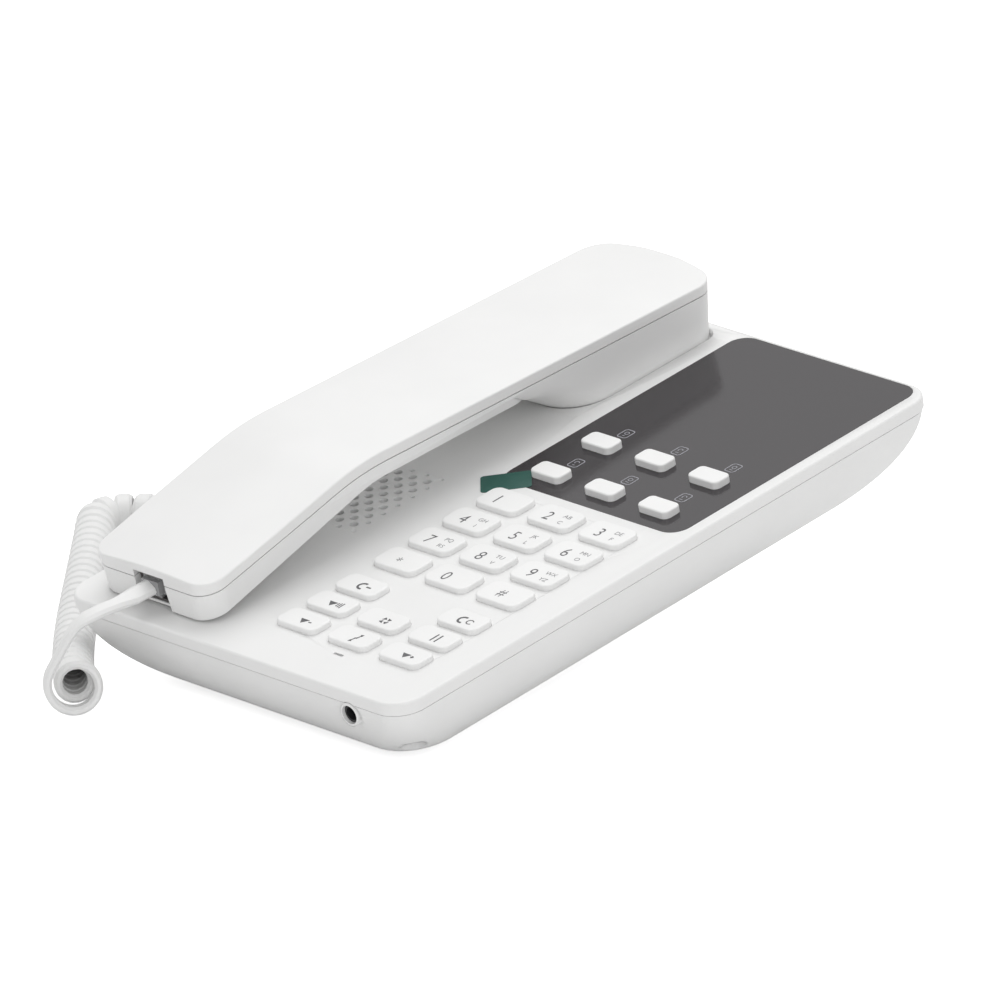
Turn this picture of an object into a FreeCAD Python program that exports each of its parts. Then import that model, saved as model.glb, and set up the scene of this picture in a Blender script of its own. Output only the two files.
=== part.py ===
import FreeCAD, Part
import math
import os
import Sketcher
from FreeCAD import Placement, Rotation, Vector

# Corded desk telephone: a tilted base with 26 keys and a handset on a curly cord.
# Everything but the feet and the cord is drawn in the deck's frame: X to the user's right,
# Y up the slope of the deck, Z out of it, origin in the middle of the deck's flat top.
# The deck is then tilted and lifted, so the desk is Z = 0.

doc = FreeCAD.newDocument("desk_telephone")
sheet = doc.addObject("Spreadsheet::Sheet", "Sizes")

driving_sizes = {
    # the base as a whole
    "tilt_angle": 11.26,
    "base_width": 121.0,
    "base_length": 192.5,
    "base_corner": 8.0,
    "deck_lift": 41.8,
    "shell_wall": 2.2,
    "cover_plate": 2.0,
    "cover_skirt": 3.5,
    "rim_round": 0.8,
    "seam_gap": 0.3,
    "running_gap": 0.3,
    "lip_rise": 1.5,
    "lip_wall": 1.0,
    # the boat-shaped lower housing: an elliptical quarter section all round
    "hull_reach": 50.0,
    "hull_drop": 34.6,
    "hull_start": 0.5,
    "hull_corner_growth": 0.35,
    "desk_clearance": 1.0,
    # the wedge below it that carries the back
    "keel_front": -42.0,
    "keel_rear": 30.0,
    "keel_right_front": 25.0,
    "keel_right_rear": 8.0,
    "keel_left": -38.0,
    "keel_corner": 5.0,
    "keel_rise": 24.0,
    # rubber feet
    "foot_diameter": 9.0,
    "foot_thickness": 2.0,
    "foot_front_row": -68.0,
    "foot_rear_row": 22.0,
    "foot_side": 30.0,
    "foot_rear_right": 0.0,
    # number keys
    "number_key_width": 14.2,
    "number_key_depth": 8.9,
    "number_key_corner": 2.4,
    "number_pitch_across": 18.0,
    "number_pitch_along": 12.136,
    "number_right": 13.5,
    "number_front": -45.25,
    # function keys
    "function_key_width": 13.5,
    "function_key_depth": 7.5,
    "function_key_corner": 2.2,
    "function_pitch_across": 17.97,
    "function_pitch_along": 10.24,
    "function_right": 13.59,
    "function_front": -79.94,
    # memory keys on the dark faceplate
    "memory_key_width": 10.0,
    "memory_key_depth": 5.7,
    "memory_key_corner": 1.6,
    "memory_pitch_across": 18.91,
    "memory_pitch_along": 18.17,
    "memory_right": 10.74,
    "memory_front": 10.03,
    # what all keys share
    "number_key_proud": 1.5,
    "function_key_proud": 1.5,
    "memory_key_proud": 2.0,
    "key_gap": 0.25,
    "key_round": 0.5,
    "key_flange_grow": 0.6,
    "key_flange_thick": 1.0,
    "key_stem_side": 4.0,
    "key_stem_length": 2.2,
    "key_travel": 1.2,
    # faceplate and the green tab of its protective film
    "faceplate_width": 62.9,
    "faceplate_length": 89.8,
    "faceplate_corner": 5.0,
    "faceplate_thick": 0.8,
    "faceplate_right": 56.8,
    "faceplate_rear": 94.81,
    "faceplate_gap": 0.1,
    "tab_width": 9.0,
    "tab_length": 13.0,
    "tab_thick": 0.15,
    "tab_middle_across": -2.4,
    "tab_middle_along": 4.6,
    # speaker grille and loudspeaker
    "grille_pitch": 5.23,
    "grille_count": 7,
    "grille_hole": 2.3,
    "grille_edge_hole": 1.3,
    "grille_middle_across": -33.6,
    "grille_middle_along": -18.6,
    "speaker_diameter": 40.0,
    "speaker_rim": 4.0,
    "speaker_depth": 13.0,
    "magnet_diameter": 22.0,
    "speaker_ring_wall": 1.5,
    # microphone in the base
    "mic_slot_width": 3.2,
    "mic_slot_height": 0.9,
    "mic_across": 26.15,
    "mic_along": -83.3,
    "mic_diameter": 5.0,
    "mic_thick": 2.7,
    # circuit board, key mat and their posts
    "board_left": -8.0,
    "board_right": 52.0,
    "board_front": -82.3,
    "board_rear": 67.6,
    "board_thick": 1.6,
    "board_depth": 9.2,
    "mat_left": -2.5,
    "mat_right": 46.8,
    "mat_front": -81.0,
    "mat_rear": 37.0,
    "mat_thick": 1.0,
    "dome_diameter": 5.4,
    "post_diameter": 4.6,
    "post_hole": 2.0,
    "post_left": -5.5,
    "post_right": 49.5,
    "post_front_left": -77.0,
    "post_front_right": -48.7,
    "post_rear": 46.0,
    # screws that close the base
    "case_screw_hole": 3.2,
    "case_screw_head": 5.6,
    "case_screw_head_high": 2.0,
    "case_boss_diameter": 7.0,
    "case_boss_across": 51.5,
    "case_boss_along": 86.0,
    "case_boss_joint": 8.0,
    "case_screw_seat": 13.0,
    # headset jack in the front wall
    "headset_across": 42.0,
    "headset_depth": 6.3,
    "headset_nozzle": 4.7,
    "headset_bore": 3.6,
    "headset_bore_length": 12.5,
    "headset_body_width": 7.0,
    "headset_body_length": 10.5,
    "headset_body_high": 5.6,
    "headset_collar": 6.4,
    # network socket in the rear wall
    "network_across": 22.0,
    "network_depth": 11.8,
    "network_width": 16.0,
    "network_high": 13.4,
    "network_length": 21.0,
    "network_face": 88.9,
    "network_plug_width": 12.0,
    "network_plug_high": 8.2,
    "network_plug_length": 15.0,
    "network_latch_width": 6.4,
    "network_latch_high": 2.4,
    # handset cord socket in the left wall, and the plugs that fit it
    "cord_socket_along": 20.0,
    "cord_socket_depth": 9.6,
    "cord_socket_width": 10.4,
    "cord_socket_high": 8.6,
    "cord_socket_length": 14.0,
    "cord_socket_face": -56.6,
    "plug_width": 7.6,
    "plug_high": 5.8,
    "plug_length": 12.0,
    "plug_gap": 0.2,
    # ear-cup recess, hook plunger and hook switch
    "recess_gap": 0.5,
    "recess_floor": 1.3,
    "recess_front_corner": 1.5,
    "recess_rear_corner": 5.0,
    "hook_across": -33.0,
    "hook_along": 81.3,
    "hook_width": 6.4,
    "hook_length": 3.6,
    "hook_high": 10.0,
    "hook_flange": 1.6,
    "hook_switch_width": 12.0,
    "hook_switch_length": 7.0,
    "hook_switch_high": 6.5,
    # handset
    "handset_across": -33.0,
    "handset_width": 43.6,
    "handset_front": -90.5,
    "handset_rear": 96.05,
    "handset_front_top": 10.6,
    "handset_bend_along": -35.0,
    "handset_bend_top": 21.2,
    "handset_rear_top": 15.4,
    "handset_bend_radius": 80.0,
    "handset_crown": 1.2,
    "handset_band": 3.0,
    "handset_front_corner": 6.5,
    "handset_rear_corner": 8.0,
    "handset_rear_bulge": 2.2,
    "handset_draft": 0.08,
    "handset_draft_top": 15.0,
    "handset_wall": 2.0,
    "handset_edge": 0.5,
    "mouth_edge_height": 0.3,
    "grip_front_along": -31.0,
    "grip_front_height": 14.4,
    "grip_rear_along": 24.0,
    "grip_rear_height": 11.6,
    "pod_front": 42.6,
    "pod_bottom": -1.7,
    "pod_rear": 92.4,
    "pod_blend": 12.0,
    "pod_half_width": 20.5,
    # what the handset holds
    "earpiece_diameter": 30.0,
    "earpiece_thick": 7.0,
    "earpiece_along": 67.0,
    "ear_hole": 1.8,
    "ear_hole_ring": 5.0,
    "capsule_diameter": 6.0,
    "capsule_thick": 2.5,
    "capsule_along": -66.0,
    "weight_width": 24.0,
    "weight_length": 30.0,
    "weight_thick": 3.0,
    "notch_top": 10.4,
    "notch_bottom": 13.0,
    "notch_depth": 2.5,
    "socket_width": 10.2,
    "socket_high": 7.6,
    "socket_length": 13.0,
    "socket_floor": 1.9,
    "handset_screw_front": -54.0,
    "handset_screw_rear": 12.0,
    "handset_screw_diameter": 2.2,
    "handset_screw_head": 4.2,
    # curly cord
    "cord_tube": 3.2,
    "coil_radius": 3.85,
    "coil_pitch": 4.8,
    "coil_bend_pitch": 5.5,
    "coil_turns": 32.5,
    "coil_flare": 2.0,
    "coil_flare_turns": 1.4,
    "coil_entry_angle": 135.0,
    "coil_sweep_radius": 60.0,
    "coil_bend_radius": 13.0,
    "handset_tail_exit": 9.5,
    "handset_tail_entry": 10.0,
    "base_tail_exit": 13.0,
    "base_tail_entry": 14.0,
    "base_tail_sag": 3.2,
    "tail_fullness": 0.45,
}

# The corners of the line that the curls wind round, from the handset's end to the base's,
# in the room's frame: the coil lies on the desk under the base's front left corner
coil_axis = [Vector(-39.2, -110.1, 7.9), Vector(-56.5, -96.8, 5.7), Vector(-134.9, -12.6, 5.7),
             Vector(-80.0, 42.4, 5.7)]

for row, (alias, value) in enumerate(driving_sizes.items(), start=1):
    sheet.set(f"A{row}", alias)
    sheet.set(f"B{row}", str(value))
    sheet.setAlias(f"B{row}", alias)
doc.recompute()


def size(alias):
    """A driving size, in mm or degrees, read from the sheet."""
    return float(sheet.get(alias))


# The tilted deck

tilt = math.radians(size("tilt_angle"))
half_width = size("base_width") / 2
half_length = size("base_length") / 2
hull_rear_reach = (
    math.cos(tilt) * (half_length - size("hull_reach"))
    + math.sin(tilt) * size("hull_start")
    + math.hypot(size("hull_reach") * math.cos(tilt), size("hull_drop") * math.sin(tilt))
)
deck_shift = (math.cos(tilt) * half_length - hull_rear_reach) / 2
deck = Placement(Vector(0, deck_shift, size("deck_lift")), Rotation(Vector(1, 0, 0), size("tilt_angle")))
level = Placement(Vector(0, 0, 0), Rotation(Vector(1, 0, 0), -size("tilt_angle")))


def on_deck(x, y, z=0.0, turn=None):
    """The placement of a piece whose own origin lies at this point of the deck's frame."""
    return deck.multiply(Placement(Vector(x, y, z), turn or Rotation()))


def desk_point(x, y, z):
    """A point of the room's frame, Z up from the desk, seen in the deck's frame."""
    return level.multVec(Vector(x, y - deck_shift, z - size("deck_lift")))


# Sketches and bodies

def origin_plane(body, role):
    for feature in body.Origin.OriginFeatures:
        if feature.Role == role:
            return feature
    raise ValueError(role)


def new_body(label, placement=None):
    body = doc.addObject("PartDesign::Body", label)
    body.Label = label
    body.Placement = placement or deck
    return body


def new_sketch(body, name, height="0", role="XY_Plane"):
    sketch = body.newObject("Sketcher::SketchObject", f"{body.Label}_{name}")
    sketch.AttachmentSupport = [(origin_plane(body, role), "")]
    sketch.MapMode = "FlatFace"
    sketch.setExpression("AttachmentOffset.Base.z", height)
    return sketch


def constrain(sketch, name, constraint, expression):
    index = sketch.addConstraint(constraint)
    sketch.renameConstraint(index, name)
    sketch.setExpression(f"Constraints.{name}", expression)


def value_of(expression):
    """The number that an expression over the sheet gives now, to draw a sketch near its place."""
    return float(sheet.evalExpression(expression.replace("Sizes.", "")))


def draw_rounded(sketch, width, length, right, rear, corner, front_corner=None):
    """A rectangle with four tangent corner arcs; every argument is an expression over the sheet.
    right and rear place its +X and +Y sides; front_corner is for its two -Y corners."""
    across, along, edge, back, bend = [value_of(text) for text in (width, length, right, rear, corner)]
    front_bend = value_of(front_corner) if front_corner else bend
    left, front = edge - across, back - along
    geometry = [
        Part.LineSegment(Vector(left + front_bend, front, 0), Vector(edge - front_bend, front, 0)),
        Part.LineSegment(Vector(edge, front + front_bend, 0), Vector(edge, back - bend, 0)),
        Part.LineSegment(Vector(edge - bend, back, 0), Vector(left + bend, back, 0)),
        Part.LineSegment(Vector(left, back - bend, 0), Vector(left, front + front_bend, 0)),
    ]
    corners = (
        (edge - front_bend, front + front_bend, front_bend, -90),
        (edge - bend, back - bend, bend, 0),
        (left + bend, back - bend, bend, 90),
        (left + front_bend, front + front_bend, front_bend, 180),
    )
    for x, y, radius, start in corners:
        circle = Part.Circle(Vector(x, y, 0), Vector(0, 0, 1), radius)
        geometry.append(Part.ArcOfCircle(circle, math.radians(start), math.radians(start + 90)))
    first = sketch.addGeometry(geometry, False)[0]
    rule = Sketcher.Constraint
    for side in range(4):
        line, arc, following = first + side, first + 4 + side, first + (side + 1) % 4
        sketch.addConstraint(rule("Tangent", line, 2, arc, 1))
        sketch.addConstraint(rule("Tangent", arc, 2, following, 1))
        sketch.addConstraint(rule("Horizontal" if side % 2 == 0 else "Vertical", line))
    sketch.addConstraint(rule("Equal", first + 4, first + 7))
    sketch.addConstraint(rule("Equal", first + 5, first + 6))
    constrain(sketch, "rear_corner", rule("Radius", first + 5, bend), corner)
    constrain(sketch, "front_corner", rule("Radius", first + 4, front_bend), front_corner or corner)
    constrain(sketch, "width", rule("DistanceX", first + 3, 1, first + 1, 1, across), width)
    constrain(sketch, "length", rule("DistanceY", first, 1, first + 2, 1, along), length)
    constrain(sketch, "right", rule("DistanceX", -1, 1, first + 1, 1, edge), right)
    constrain(sketch, "rear", rule("DistanceY", -1, 1, first + 2, 1, back), rear)


def draw_circle(sketch, diameter, across, along, name=""):
    x, y = value_of(across), value_of(along)
    circle = Part.Circle(Vector(x, y, 0), Vector(0, 0, 1), value_of(diameter) / 2)
    index = sketch.addGeometry(circle, False)
    rule = Sketcher.Constraint
    constrain(sketch, f"diameter{name}", rule("Diameter", index, value_of(diameter)), diameter)
    constrain(sketch, f"across{name}", rule("DistanceX", -1, 1, index, 3, x), across)
    constrain(sketch, f"along{name}", rule("DistanceY", -1, 1, index, 3, y), along)


def pad(body, sketch, length, down=False):
    feature = body.newObject("PartDesign::Pad", f"{sketch.Name}_pad")
    feature.Profile = sketch
    feature.setExpression("Length", length)
    feature.Reversed = down
    return feature


def pocket(body, sketch, length, up=False):
    """Cuts from the sketch downwards into the body, or upwards."""
    feature = body.newObject("PartDesign::Pocket", f"{sketch.Name}_pocket")
    feature.Profile = sketch
    feature.setExpression("Length", length)
    feature.Reversed = up
    return feature


def grid(body, feature, sketch, across_pitch, across_count, along_pitch, along_count):
    """Repeats a feature over a grid in the sketch's plane; the counts are whole numbers."""
    pattern = body.newObject("PartDesign::MultiTransform", f"{feature.Name}_grid")
    pattern.Originals = [feature]
    steps = []
    for axis, pitch, count in (("H_Axis", across_pitch, across_count), ("V_Axis", along_pitch, along_count)):
        if count > 1:
            step = body.newObject("PartDesign::LinearPattern", f"{feature.Name}_{axis}")
            step.Direction = (sketch, [axis])
            step.Occurrences = count
            step.setExpression("Length", f"({pitch}) * {count - 1}")
            steps.append(step)
    pattern.Transformations = steps
    body.Tip = pattern
    return pattern


def round_edges(body, radius, chosen):
    """Rounds the edges of the body's tip for which chosen(edge) is true."""
    doc.recompute()
    base = body.Tip
    names = [f"Edge{number}" for number, edge in enumerate(base.Shape.Edges, start=1) if chosen(edge)]
    feature = body.newObject("PartDesign::Fillet", f"{body.Label}_round")
    feature.Base = (base, names)
    feature.setExpression("Radius", radius)
    return feature


def in_plane(height):
    """Picks the edges that lie at one height of the body's frame."""
    def chosen(edge):
        box = edge.BoundBox
        return abs(box.ZMin - height) < 1e-4 and abs(box.ZMax - height) < 1e-4
    return chosen


# Plain solids in the deck's frame, for the pieces and cuts that a sketch would only repeat

def block(x0, x1, y0, y1, z0, z1):
    return Part.makeBox(x1 - x0, y1 - y0, z1 - z0, Vector(x0, y0, z0))


def rod(diameter, start, along, length):
    return Part.makeCylinder(diameter / 2, length, start, along)


def keep(label, shape, placement=None):
    """Adds a piece whose shape comes from Part's own functions."""
    piece = doc.addObject("Part::Feature", label)
    piece.Label = label
    piece.Shape = shape
    piece.Placement = placement or deck
    return piece


pieces = []

# Upper housing: plate and skirt, key windows, grille, ear-cup recess, posts and bosses

cover = new_body("upper_housing")
cover_outline = new_sketch(cover, "outline")
draw_rounded(cover_outline, "Sizes.base_width", "Sizes.base_length", "Sizes.base_width / 2",
             "Sizes.base_length / 2", "Sizes.base_corner")
pad(cover, cover_outline, "Sizes.cover_skirt - Sizes.seam_gap / 2", down=True)
round_edges(cover, "Sizes.rim_round", in_plane(0.0))

cover_inside = new_sketch(cover, "inside", "-Sizes.cover_plate")
draw_rounded(cover_inside, "Sizes.base_width - 2 * Sizes.shell_wall", "Sizes.base_length - 2 * Sizes.shell_wall",
             "Sizes.base_width / 2 - Sizes.shell_wall", "Sizes.base_length / 2 - Sizes.shell_wall",
             "Sizes.base_corner - Sizes.shell_wall")
pocket(cover, cover_inside, "Sizes.cover_skirt")

recess_right = "(Sizes.handset_across + Sizes.pod_half_width + Sizes.recess_gap)"
recess_rear = ("(Sizes.pod_rear - Sizes.pod_bottom * (Sizes.handset_rear - Sizes.pod_rear)"
               " / (Sizes.handset_rear_top - Sizes.pod_bottom) + Sizes.recess_gap)")
recess_front = ("(Sizes.pod_front + Sizes.pod_bottom * (Sizes.pod_front - Sizes.grip_rear_along)"
                " / (Sizes.grip_rear_height - Sizes.pod_bottom) - 2 * Sizes.recess_gap)")
recess_length = f"({recess_rear} - {recess_front})"
recess_width = "(2 * Sizes.pod_half_width + 2 * Sizes.recess_gap)"
well = new_sketch(cover, "well", "-Sizes.cover_plate")
draw_rounded(well, f"{recess_width} + 2 * Sizes.recess_floor", f"{recess_length} + 2 * Sizes.recess_floor",
             f"{recess_right} + Sizes.recess_floor", f"{recess_rear} + Sizes.recess_floor",
             "Sizes.recess_rear_corner + Sizes.recess_floor", "Sizes.recess_front_corner + Sizes.recess_floor")
pad(cover, well, "Sizes.recess_floor", down=True)

speaker_ring = new_sketch(cover, "speaker_ring", "-Sizes.cover_plate")
ring_bore = "Sizes.speaker_diameter + 2 * Sizes.running_gap"
draw_circle(speaker_ring, ring_bore, "Sizes.grille_middle_across", "Sizes.grille_middle_along", "_in")
draw_circle(speaker_ring, f"{ring_bore} + 2 * Sizes.speaker_ring_wall", "Sizes.grille_middle_across",
            "Sizes.grille_middle_along", "_out")
pad(cover, speaker_ring, "Sizes.speaker_rim", down=True)

board_posts = new_sketch(cover, "board_posts", "-Sizes.cover_plate")
post_places = (("Sizes.post_left", "Sizes.post_front_left"), ("Sizes.post_left", "Sizes.post_rear"),
               ("Sizes.post_right", "Sizes.post_front_right"), ("Sizes.post_right", "Sizes.post_rear"))
for number, (across, along) in enumerate(post_places):
    draw_circle(board_posts, "Sizes.post_diameter", across, along, f"_outer{number}")
    draw_circle(board_posts, "Sizes.post_hole", across, along, f"_bore{number}")
pad(cover, board_posts, "Sizes.board_depth - Sizes.cover_plate", down=True)

boss_places = [(f"{x} * Sizes.case_boss_across", f"{y} * Sizes.case_boss_along") for x in (-1, 1) for y in (-1, 1)]
case_bosses = new_sketch(cover, "case_bosses", "-Sizes.cover_plate")
for number, (across, along) in enumerate(boss_places):
    draw_circle(case_bosses, "Sizes.case_boss_diameter", across, along, f"_outer{number}")
    draw_circle(case_bosses, "Sizes.post_hole", across, along, f"_bore{number}")
pad(cover, case_bosses, "Sizes.case_boss_joint - Sizes.cover_plate", down=True)

recess = new_sketch(cover, "recess")
draw_rounded(recess, recess_width, recess_length, recess_right, recess_rear, "Sizes.recess_rear_corner",
             "Sizes.recess_front_corner")
pocket(cover, recess, "Sizes.cover_plate")
hook_slot = new_sketch(cover, "hook_slot", "-Sizes.cover_plate")
draw_rounded(hook_slot, "Sizes.hook_width + 2 * Sizes.running_gap", "Sizes.hook_length + 2 * Sizes.running_gap",
             "Sizes.hook_across + Sizes.hook_width / 2 + Sizes.running_gap",
             "Sizes.hook_along + Sizes.hook_length / 2 + Sizes.running_gap", "Sizes.hook_length / 4")
pocket(cover, hook_slot, "Sizes.recess_floor")

faceplate_seat = new_sketch(cover, "faceplate_seat")
draw_rounded(faceplate_seat, "Sizes.faceplate_width + 2 * Sizes.faceplate_gap",
             "Sizes.faceplate_length + 2 * Sizes.faceplate_gap",
             "Sizes.faceplate_right + Sizes.faceplate_gap", "Sizes.faceplate_rear + Sizes.faceplate_gap",
             "Sizes.faceplate_corner + Sizes.faceplate_gap")
pocket(cover, faceplate_seat, "Sizes.faceplate_thick")


def key_windows(body, style, column, across_step, columns, rows, depth):
    """Cuts one style's windows, from the given column on, every across_step columns."""
    window = new_sketch(body, f"{style}_window_{column}")
    right = f"Sizes.{style}_right + {column} * Sizes.{style}_pitch_across"
    rear = f"Sizes.{style}_front + Sizes.{style}_key_depth"
    draw_rounded(window, f"Sizes.{style}_key_width + 2 * Sizes.key_gap", f"Sizes.{style}_key_depth + 2 * Sizes.key_gap",
                 f"{right} + Sizes.key_gap", f"{rear} + Sizes.key_gap", f"Sizes.{style}_key_corner + Sizes.key_gap")
    cut = pocket(body, window, depth)
    grid(body, cut, window, f"{across_step} * Sizes.{style}_pitch_across", columns,
         f"Sizes.{style}_pitch_along", rows)


key_windows(cover, "number", 0, 1, 3, 4, "Sizes.cover_plate")
key_windows(cover, "function", 0, 2, 2, 3, "Sizes.cover_plate")
key_windows(cover, "function", 1, 1, 1, 2, "Sizes.cover_plate")
key_windows(cover, "memory", 0, 1, 3, 2, "Sizes.cover_plate")


def grille_holes(name, diameter, first_across, first_along, across_step, columns, along_step, rows):
    """One set of grille holes; steps and first places are in half pitches from the grille's middle."""
    hole = new_sketch(cover, f"grille_{name}")
    draw_circle(hole, diameter, f"Sizes.grille_middle_across + {first_across} * Sizes.grille_pitch / 2",
                f"Sizes.grille_middle_along + {first_along} * Sizes.grille_pitch / 2")
    cut = pocket(cover, hole, "Sizes.cover_plate")
    grid(cover, cut, hole, f"{across_step} * Sizes.grille_pitch / 2", columns,
         f"{along_step} * Sizes.grille_pitch / 2", rows)


count = int(size("grille_count"))
grille_holes("inner", "Sizes.grille_hole", 3 - count, 3 - count, 2, count - 2, 2, count - 2)
grille_holes("between", "Sizes.grille_hole", 2 - count, 2 - count, 2, count - 1, 2, count - 1)
grille_holes("ends", "Sizes.grille_edge_hole", 1 - count, 1 - count, 2, count, 2 * (count - 1), 2)
grille_holes("sides", "Sizes.grille_edge_hole", 1 - count, 3 - count, 2 * (count - 1), 2, 2, count - 2)

mic_slot = new_sketch(cover, "mic_slot")
draw_rounded(mic_slot, "Sizes.mic_slot_width", "Sizes.mic_slot_height",
             "Sizes.mic_across + Sizes.mic_slot_width / 2", "Sizes.mic_along + Sizes.mic_slot_height / 2",
             "Sizes.mic_slot_height / 3")
pocket(cover, mic_slot, "Sizes.cover_plate")

headset_notch = new_sketch(cover, "headset_notch", "Sizes.base_length / 2 - Sizes.shell_wall", "XZ_Plane")
draw_circle(headset_notch, "Sizes.headset_collar + Sizes.seam_gap", "Sizes.headset_across", "-Sizes.headset_depth")
pocket(cover, headset_notch, "Sizes.shell_wall * 2", up=True)
pieces.append(cover)

# Faceplate: a flat dark plate let into the cover, with windows for the six memory keys

faceplate = new_body("faceplate")
faceplate_outline = new_sketch(faceplate, "outline")
draw_rounded(faceplate_outline, "Sizes.faceplate_width", "Sizes.faceplate_length", "Sizes.faceplate_right",
             "Sizes.faceplate_rear", "Sizes.faceplate_corner")
pad(faceplate, faceplate_outline, "Sizes.faceplate_thick", down=True)
key_windows(faceplate, "memory", 0, 1, 3, 2, "Sizes.faceplate_thick")
pieces.append(faceplate)

# Pull tab of the clear film that still covers the faceplate: lies across its front left corner

tab = new_body("film_pull_tab", on_deck(size("tab_middle_across"), size("tab_middle_along"), 0.0,
                                        Rotation(Vector(0, 0, 1), 45)))
tab_outline = new_sketch(tab, "outline")
draw_rounded(tab_outline, "Sizes.tab_length", "Sizes.tab_width", "Sizes.tab_length / 2", "Sizes.tab_width / 2",
             "Sizes.tab_width / 9")
pad(tab, tab_outline, "Sizes.tab_thick")
pieces.append(tab)


# Keys: a cap with rounded edges, a flange that keeps it under the cover, and a stem

def make_key(label, style, column, row):
    right = size(f"{style}_right") + column * size(f"{style}_pitch_across")
    front = size(f"{style}_front") + row * size(f"{style}_pitch_along")
    width, depth = f"Sizes.{style}_key_width", f"Sizes.{style}_key_depth"
    middle = on_deck(right - size(f"{style}_key_width") / 2, front + size(f"{style}_key_depth") / 2)
    key = new_body(label, middle)
    under = "Sizes.cover_plate + Sizes.running_gap"
    cap = new_sketch(key, "cap", f"-({under})")
    draw_rounded(cap, width, depth, f"{width} / 2", f"{depth} / 2", f"Sizes.{style}_key_corner")
    pad(key, cap, f"{under} + Sizes.{style}_key_proud")
    round_edges(key, "Sizes.key_round", in_plane(size(f"{style}_key_proud")))
    flange = new_sketch(key, "flange", f"-({under})")
    grow = "Sizes.key_flange_grow"
    draw_rounded(flange, f"{width} + 2 * {grow}", f"{depth} + 2 * {grow}", f"{width} / 2 + {grow}",
                 f"{depth} / 2 + {grow}", f"Sizes.{style}_key_corner")
    pad(key, flange, "Sizes.key_flange_thick", down=True)
    stem = new_sketch(key, "stem", f"-({under} + Sizes.key_flange_thick)")
    draw_rounded(stem, "Sizes.key_stem_side", "Sizes.key_stem_side", "Sizes.key_stem_side / 2",
                 "Sizes.key_stem_side / 2", "Sizes.key_stem_side / 5")
    pad(key, stem, "Sizes.key_stem_length", down=True)
    pieces.append(key)
    return middle


number_names = (("key_star", "key_0", "key_hash"), ("key_7", "key_8", "key_9"),
                ("key_4", "key_5", "key_6"), ("key_1", "key_2", "key_3"))
function_names = (("volume_down_key", "flash_key", "volume_up_key"), ("loudspeaker_key", "mute_key", "hold_key"),
                  ("answer_key", None, "redial_key"))
memory_names = (("memory_key_1", "memory_key_2", "memory_key_3"), ("memory_key_4", "memory_key_5", "memory_key_6"))
key_middles = []
for style, names in (("number", number_names), ("function", function_names), ("memory", memory_names)):
    for row, labels in enumerate(names):
        for column, label in enumerate(labels):
            if label:
                key_middles.append(make_key(label, style, column, row))

# Keypad mat: a silicone sheet on the board, with a dome under each key's stem

mat = new_body("keypad_mat")
mat_outline = new_sketch(mat, "outline", "-Sizes.board_depth")
draw_rounded(mat_outline, "Sizes.mat_right - Sizes.mat_left", "Sizes.mat_rear - Sizes.mat_front",
             "Sizes.mat_right", "Sizes.mat_rear", "Sizes.base_corner / 2")
pad(mat, mat_outline, "Sizes.mat_thick")
dome_rise = ("Sizes.board_depth - Sizes.mat_thick - Sizes.cover_plate - 2 * Sizes.running_gap"
             " - Sizes.key_flange_thick - Sizes.key_stem_length - Sizes.key_travel")


def key_domes(style, column, across_step, columns, rows):
    dome = new_sketch(mat, f"{style}_dome_{column}", "-(Sizes.board_depth - Sizes.mat_thick)")
    draw_circle(dome, "Sizes.dome_diameter",
                f"Sizes.{style}_right + {column} * Sizes.{style}_pitch_across - Sizes.{style}_key_width / 2",
                f"Sizes.{style}_front + Sizes.{style}_key_depth / 2")
    raised = pad(mat, dome, dome_rise)
    grid(mat, raised, dome, f"{across_step} * Sizes.{style}_pitch_across", columns,
         f"Sizes.{style}_pitch_along", rows)


key_domes("number", 0, 1, 3, 4)
key_domes("function", 0, 2, 2, 3)
key_domes("function", 1, 1, 1, 2)
key_domes("memory", 0, 1, 3, 2)
pieces.append(mat)

# Main circuit board, held to the cover's posts by four screws

board = new_body("main_board")
board_outline = new_sketch(board, "outline", "-Sizes.board_depth")
draw_rounded(board_outline, "Sizes.board_right - Sizes.board_left", "Sizes.board_rear - Sizes.board_front",
             "Sizes.board_right", "Sizes.board_rear", "Sizes.base_corner / 4")
for number, (across, along) in enumerate(post_places):
    draw_circle(board_outline, "Sizes.post_hole + Sizes.running_gap", across, along, f"_screw{number}")
pad(board, board_outline, "Sizes.board_thick", down=True)
pieces.append(board)

up = Vector(0, 0, 1)
board_bottom = -size("board_depth") - size("board_thick")


def screw(x, y, head_z, length, diameter, head_diameter, head_high):
    """A pan-head screw that points up, its head's underside at head_z."""
    shank = rod(diameter, Vector(x, y, head_z), up, length)
    head = rod(head_diameter, Vector(x, y, head_z - head_high), up, head_high)
    return shank.fuse(head).removeSplitter()


board_screw_places = [(value_of(across), value_of(along)) for across, along in post_places]
board_screws = [screw(x, y, board_bottom, size("board_thick") + 4, size("post_hole"), 2 * size("post_hole"), 1.4)
                for x, y in board_screw_places]
pieces.append(keep("board_screws", Part.makeCompound(board_screws)))

# Loudspeaker: a rim that seats in the cover's ring, a tapering basket and a magnet

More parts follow.
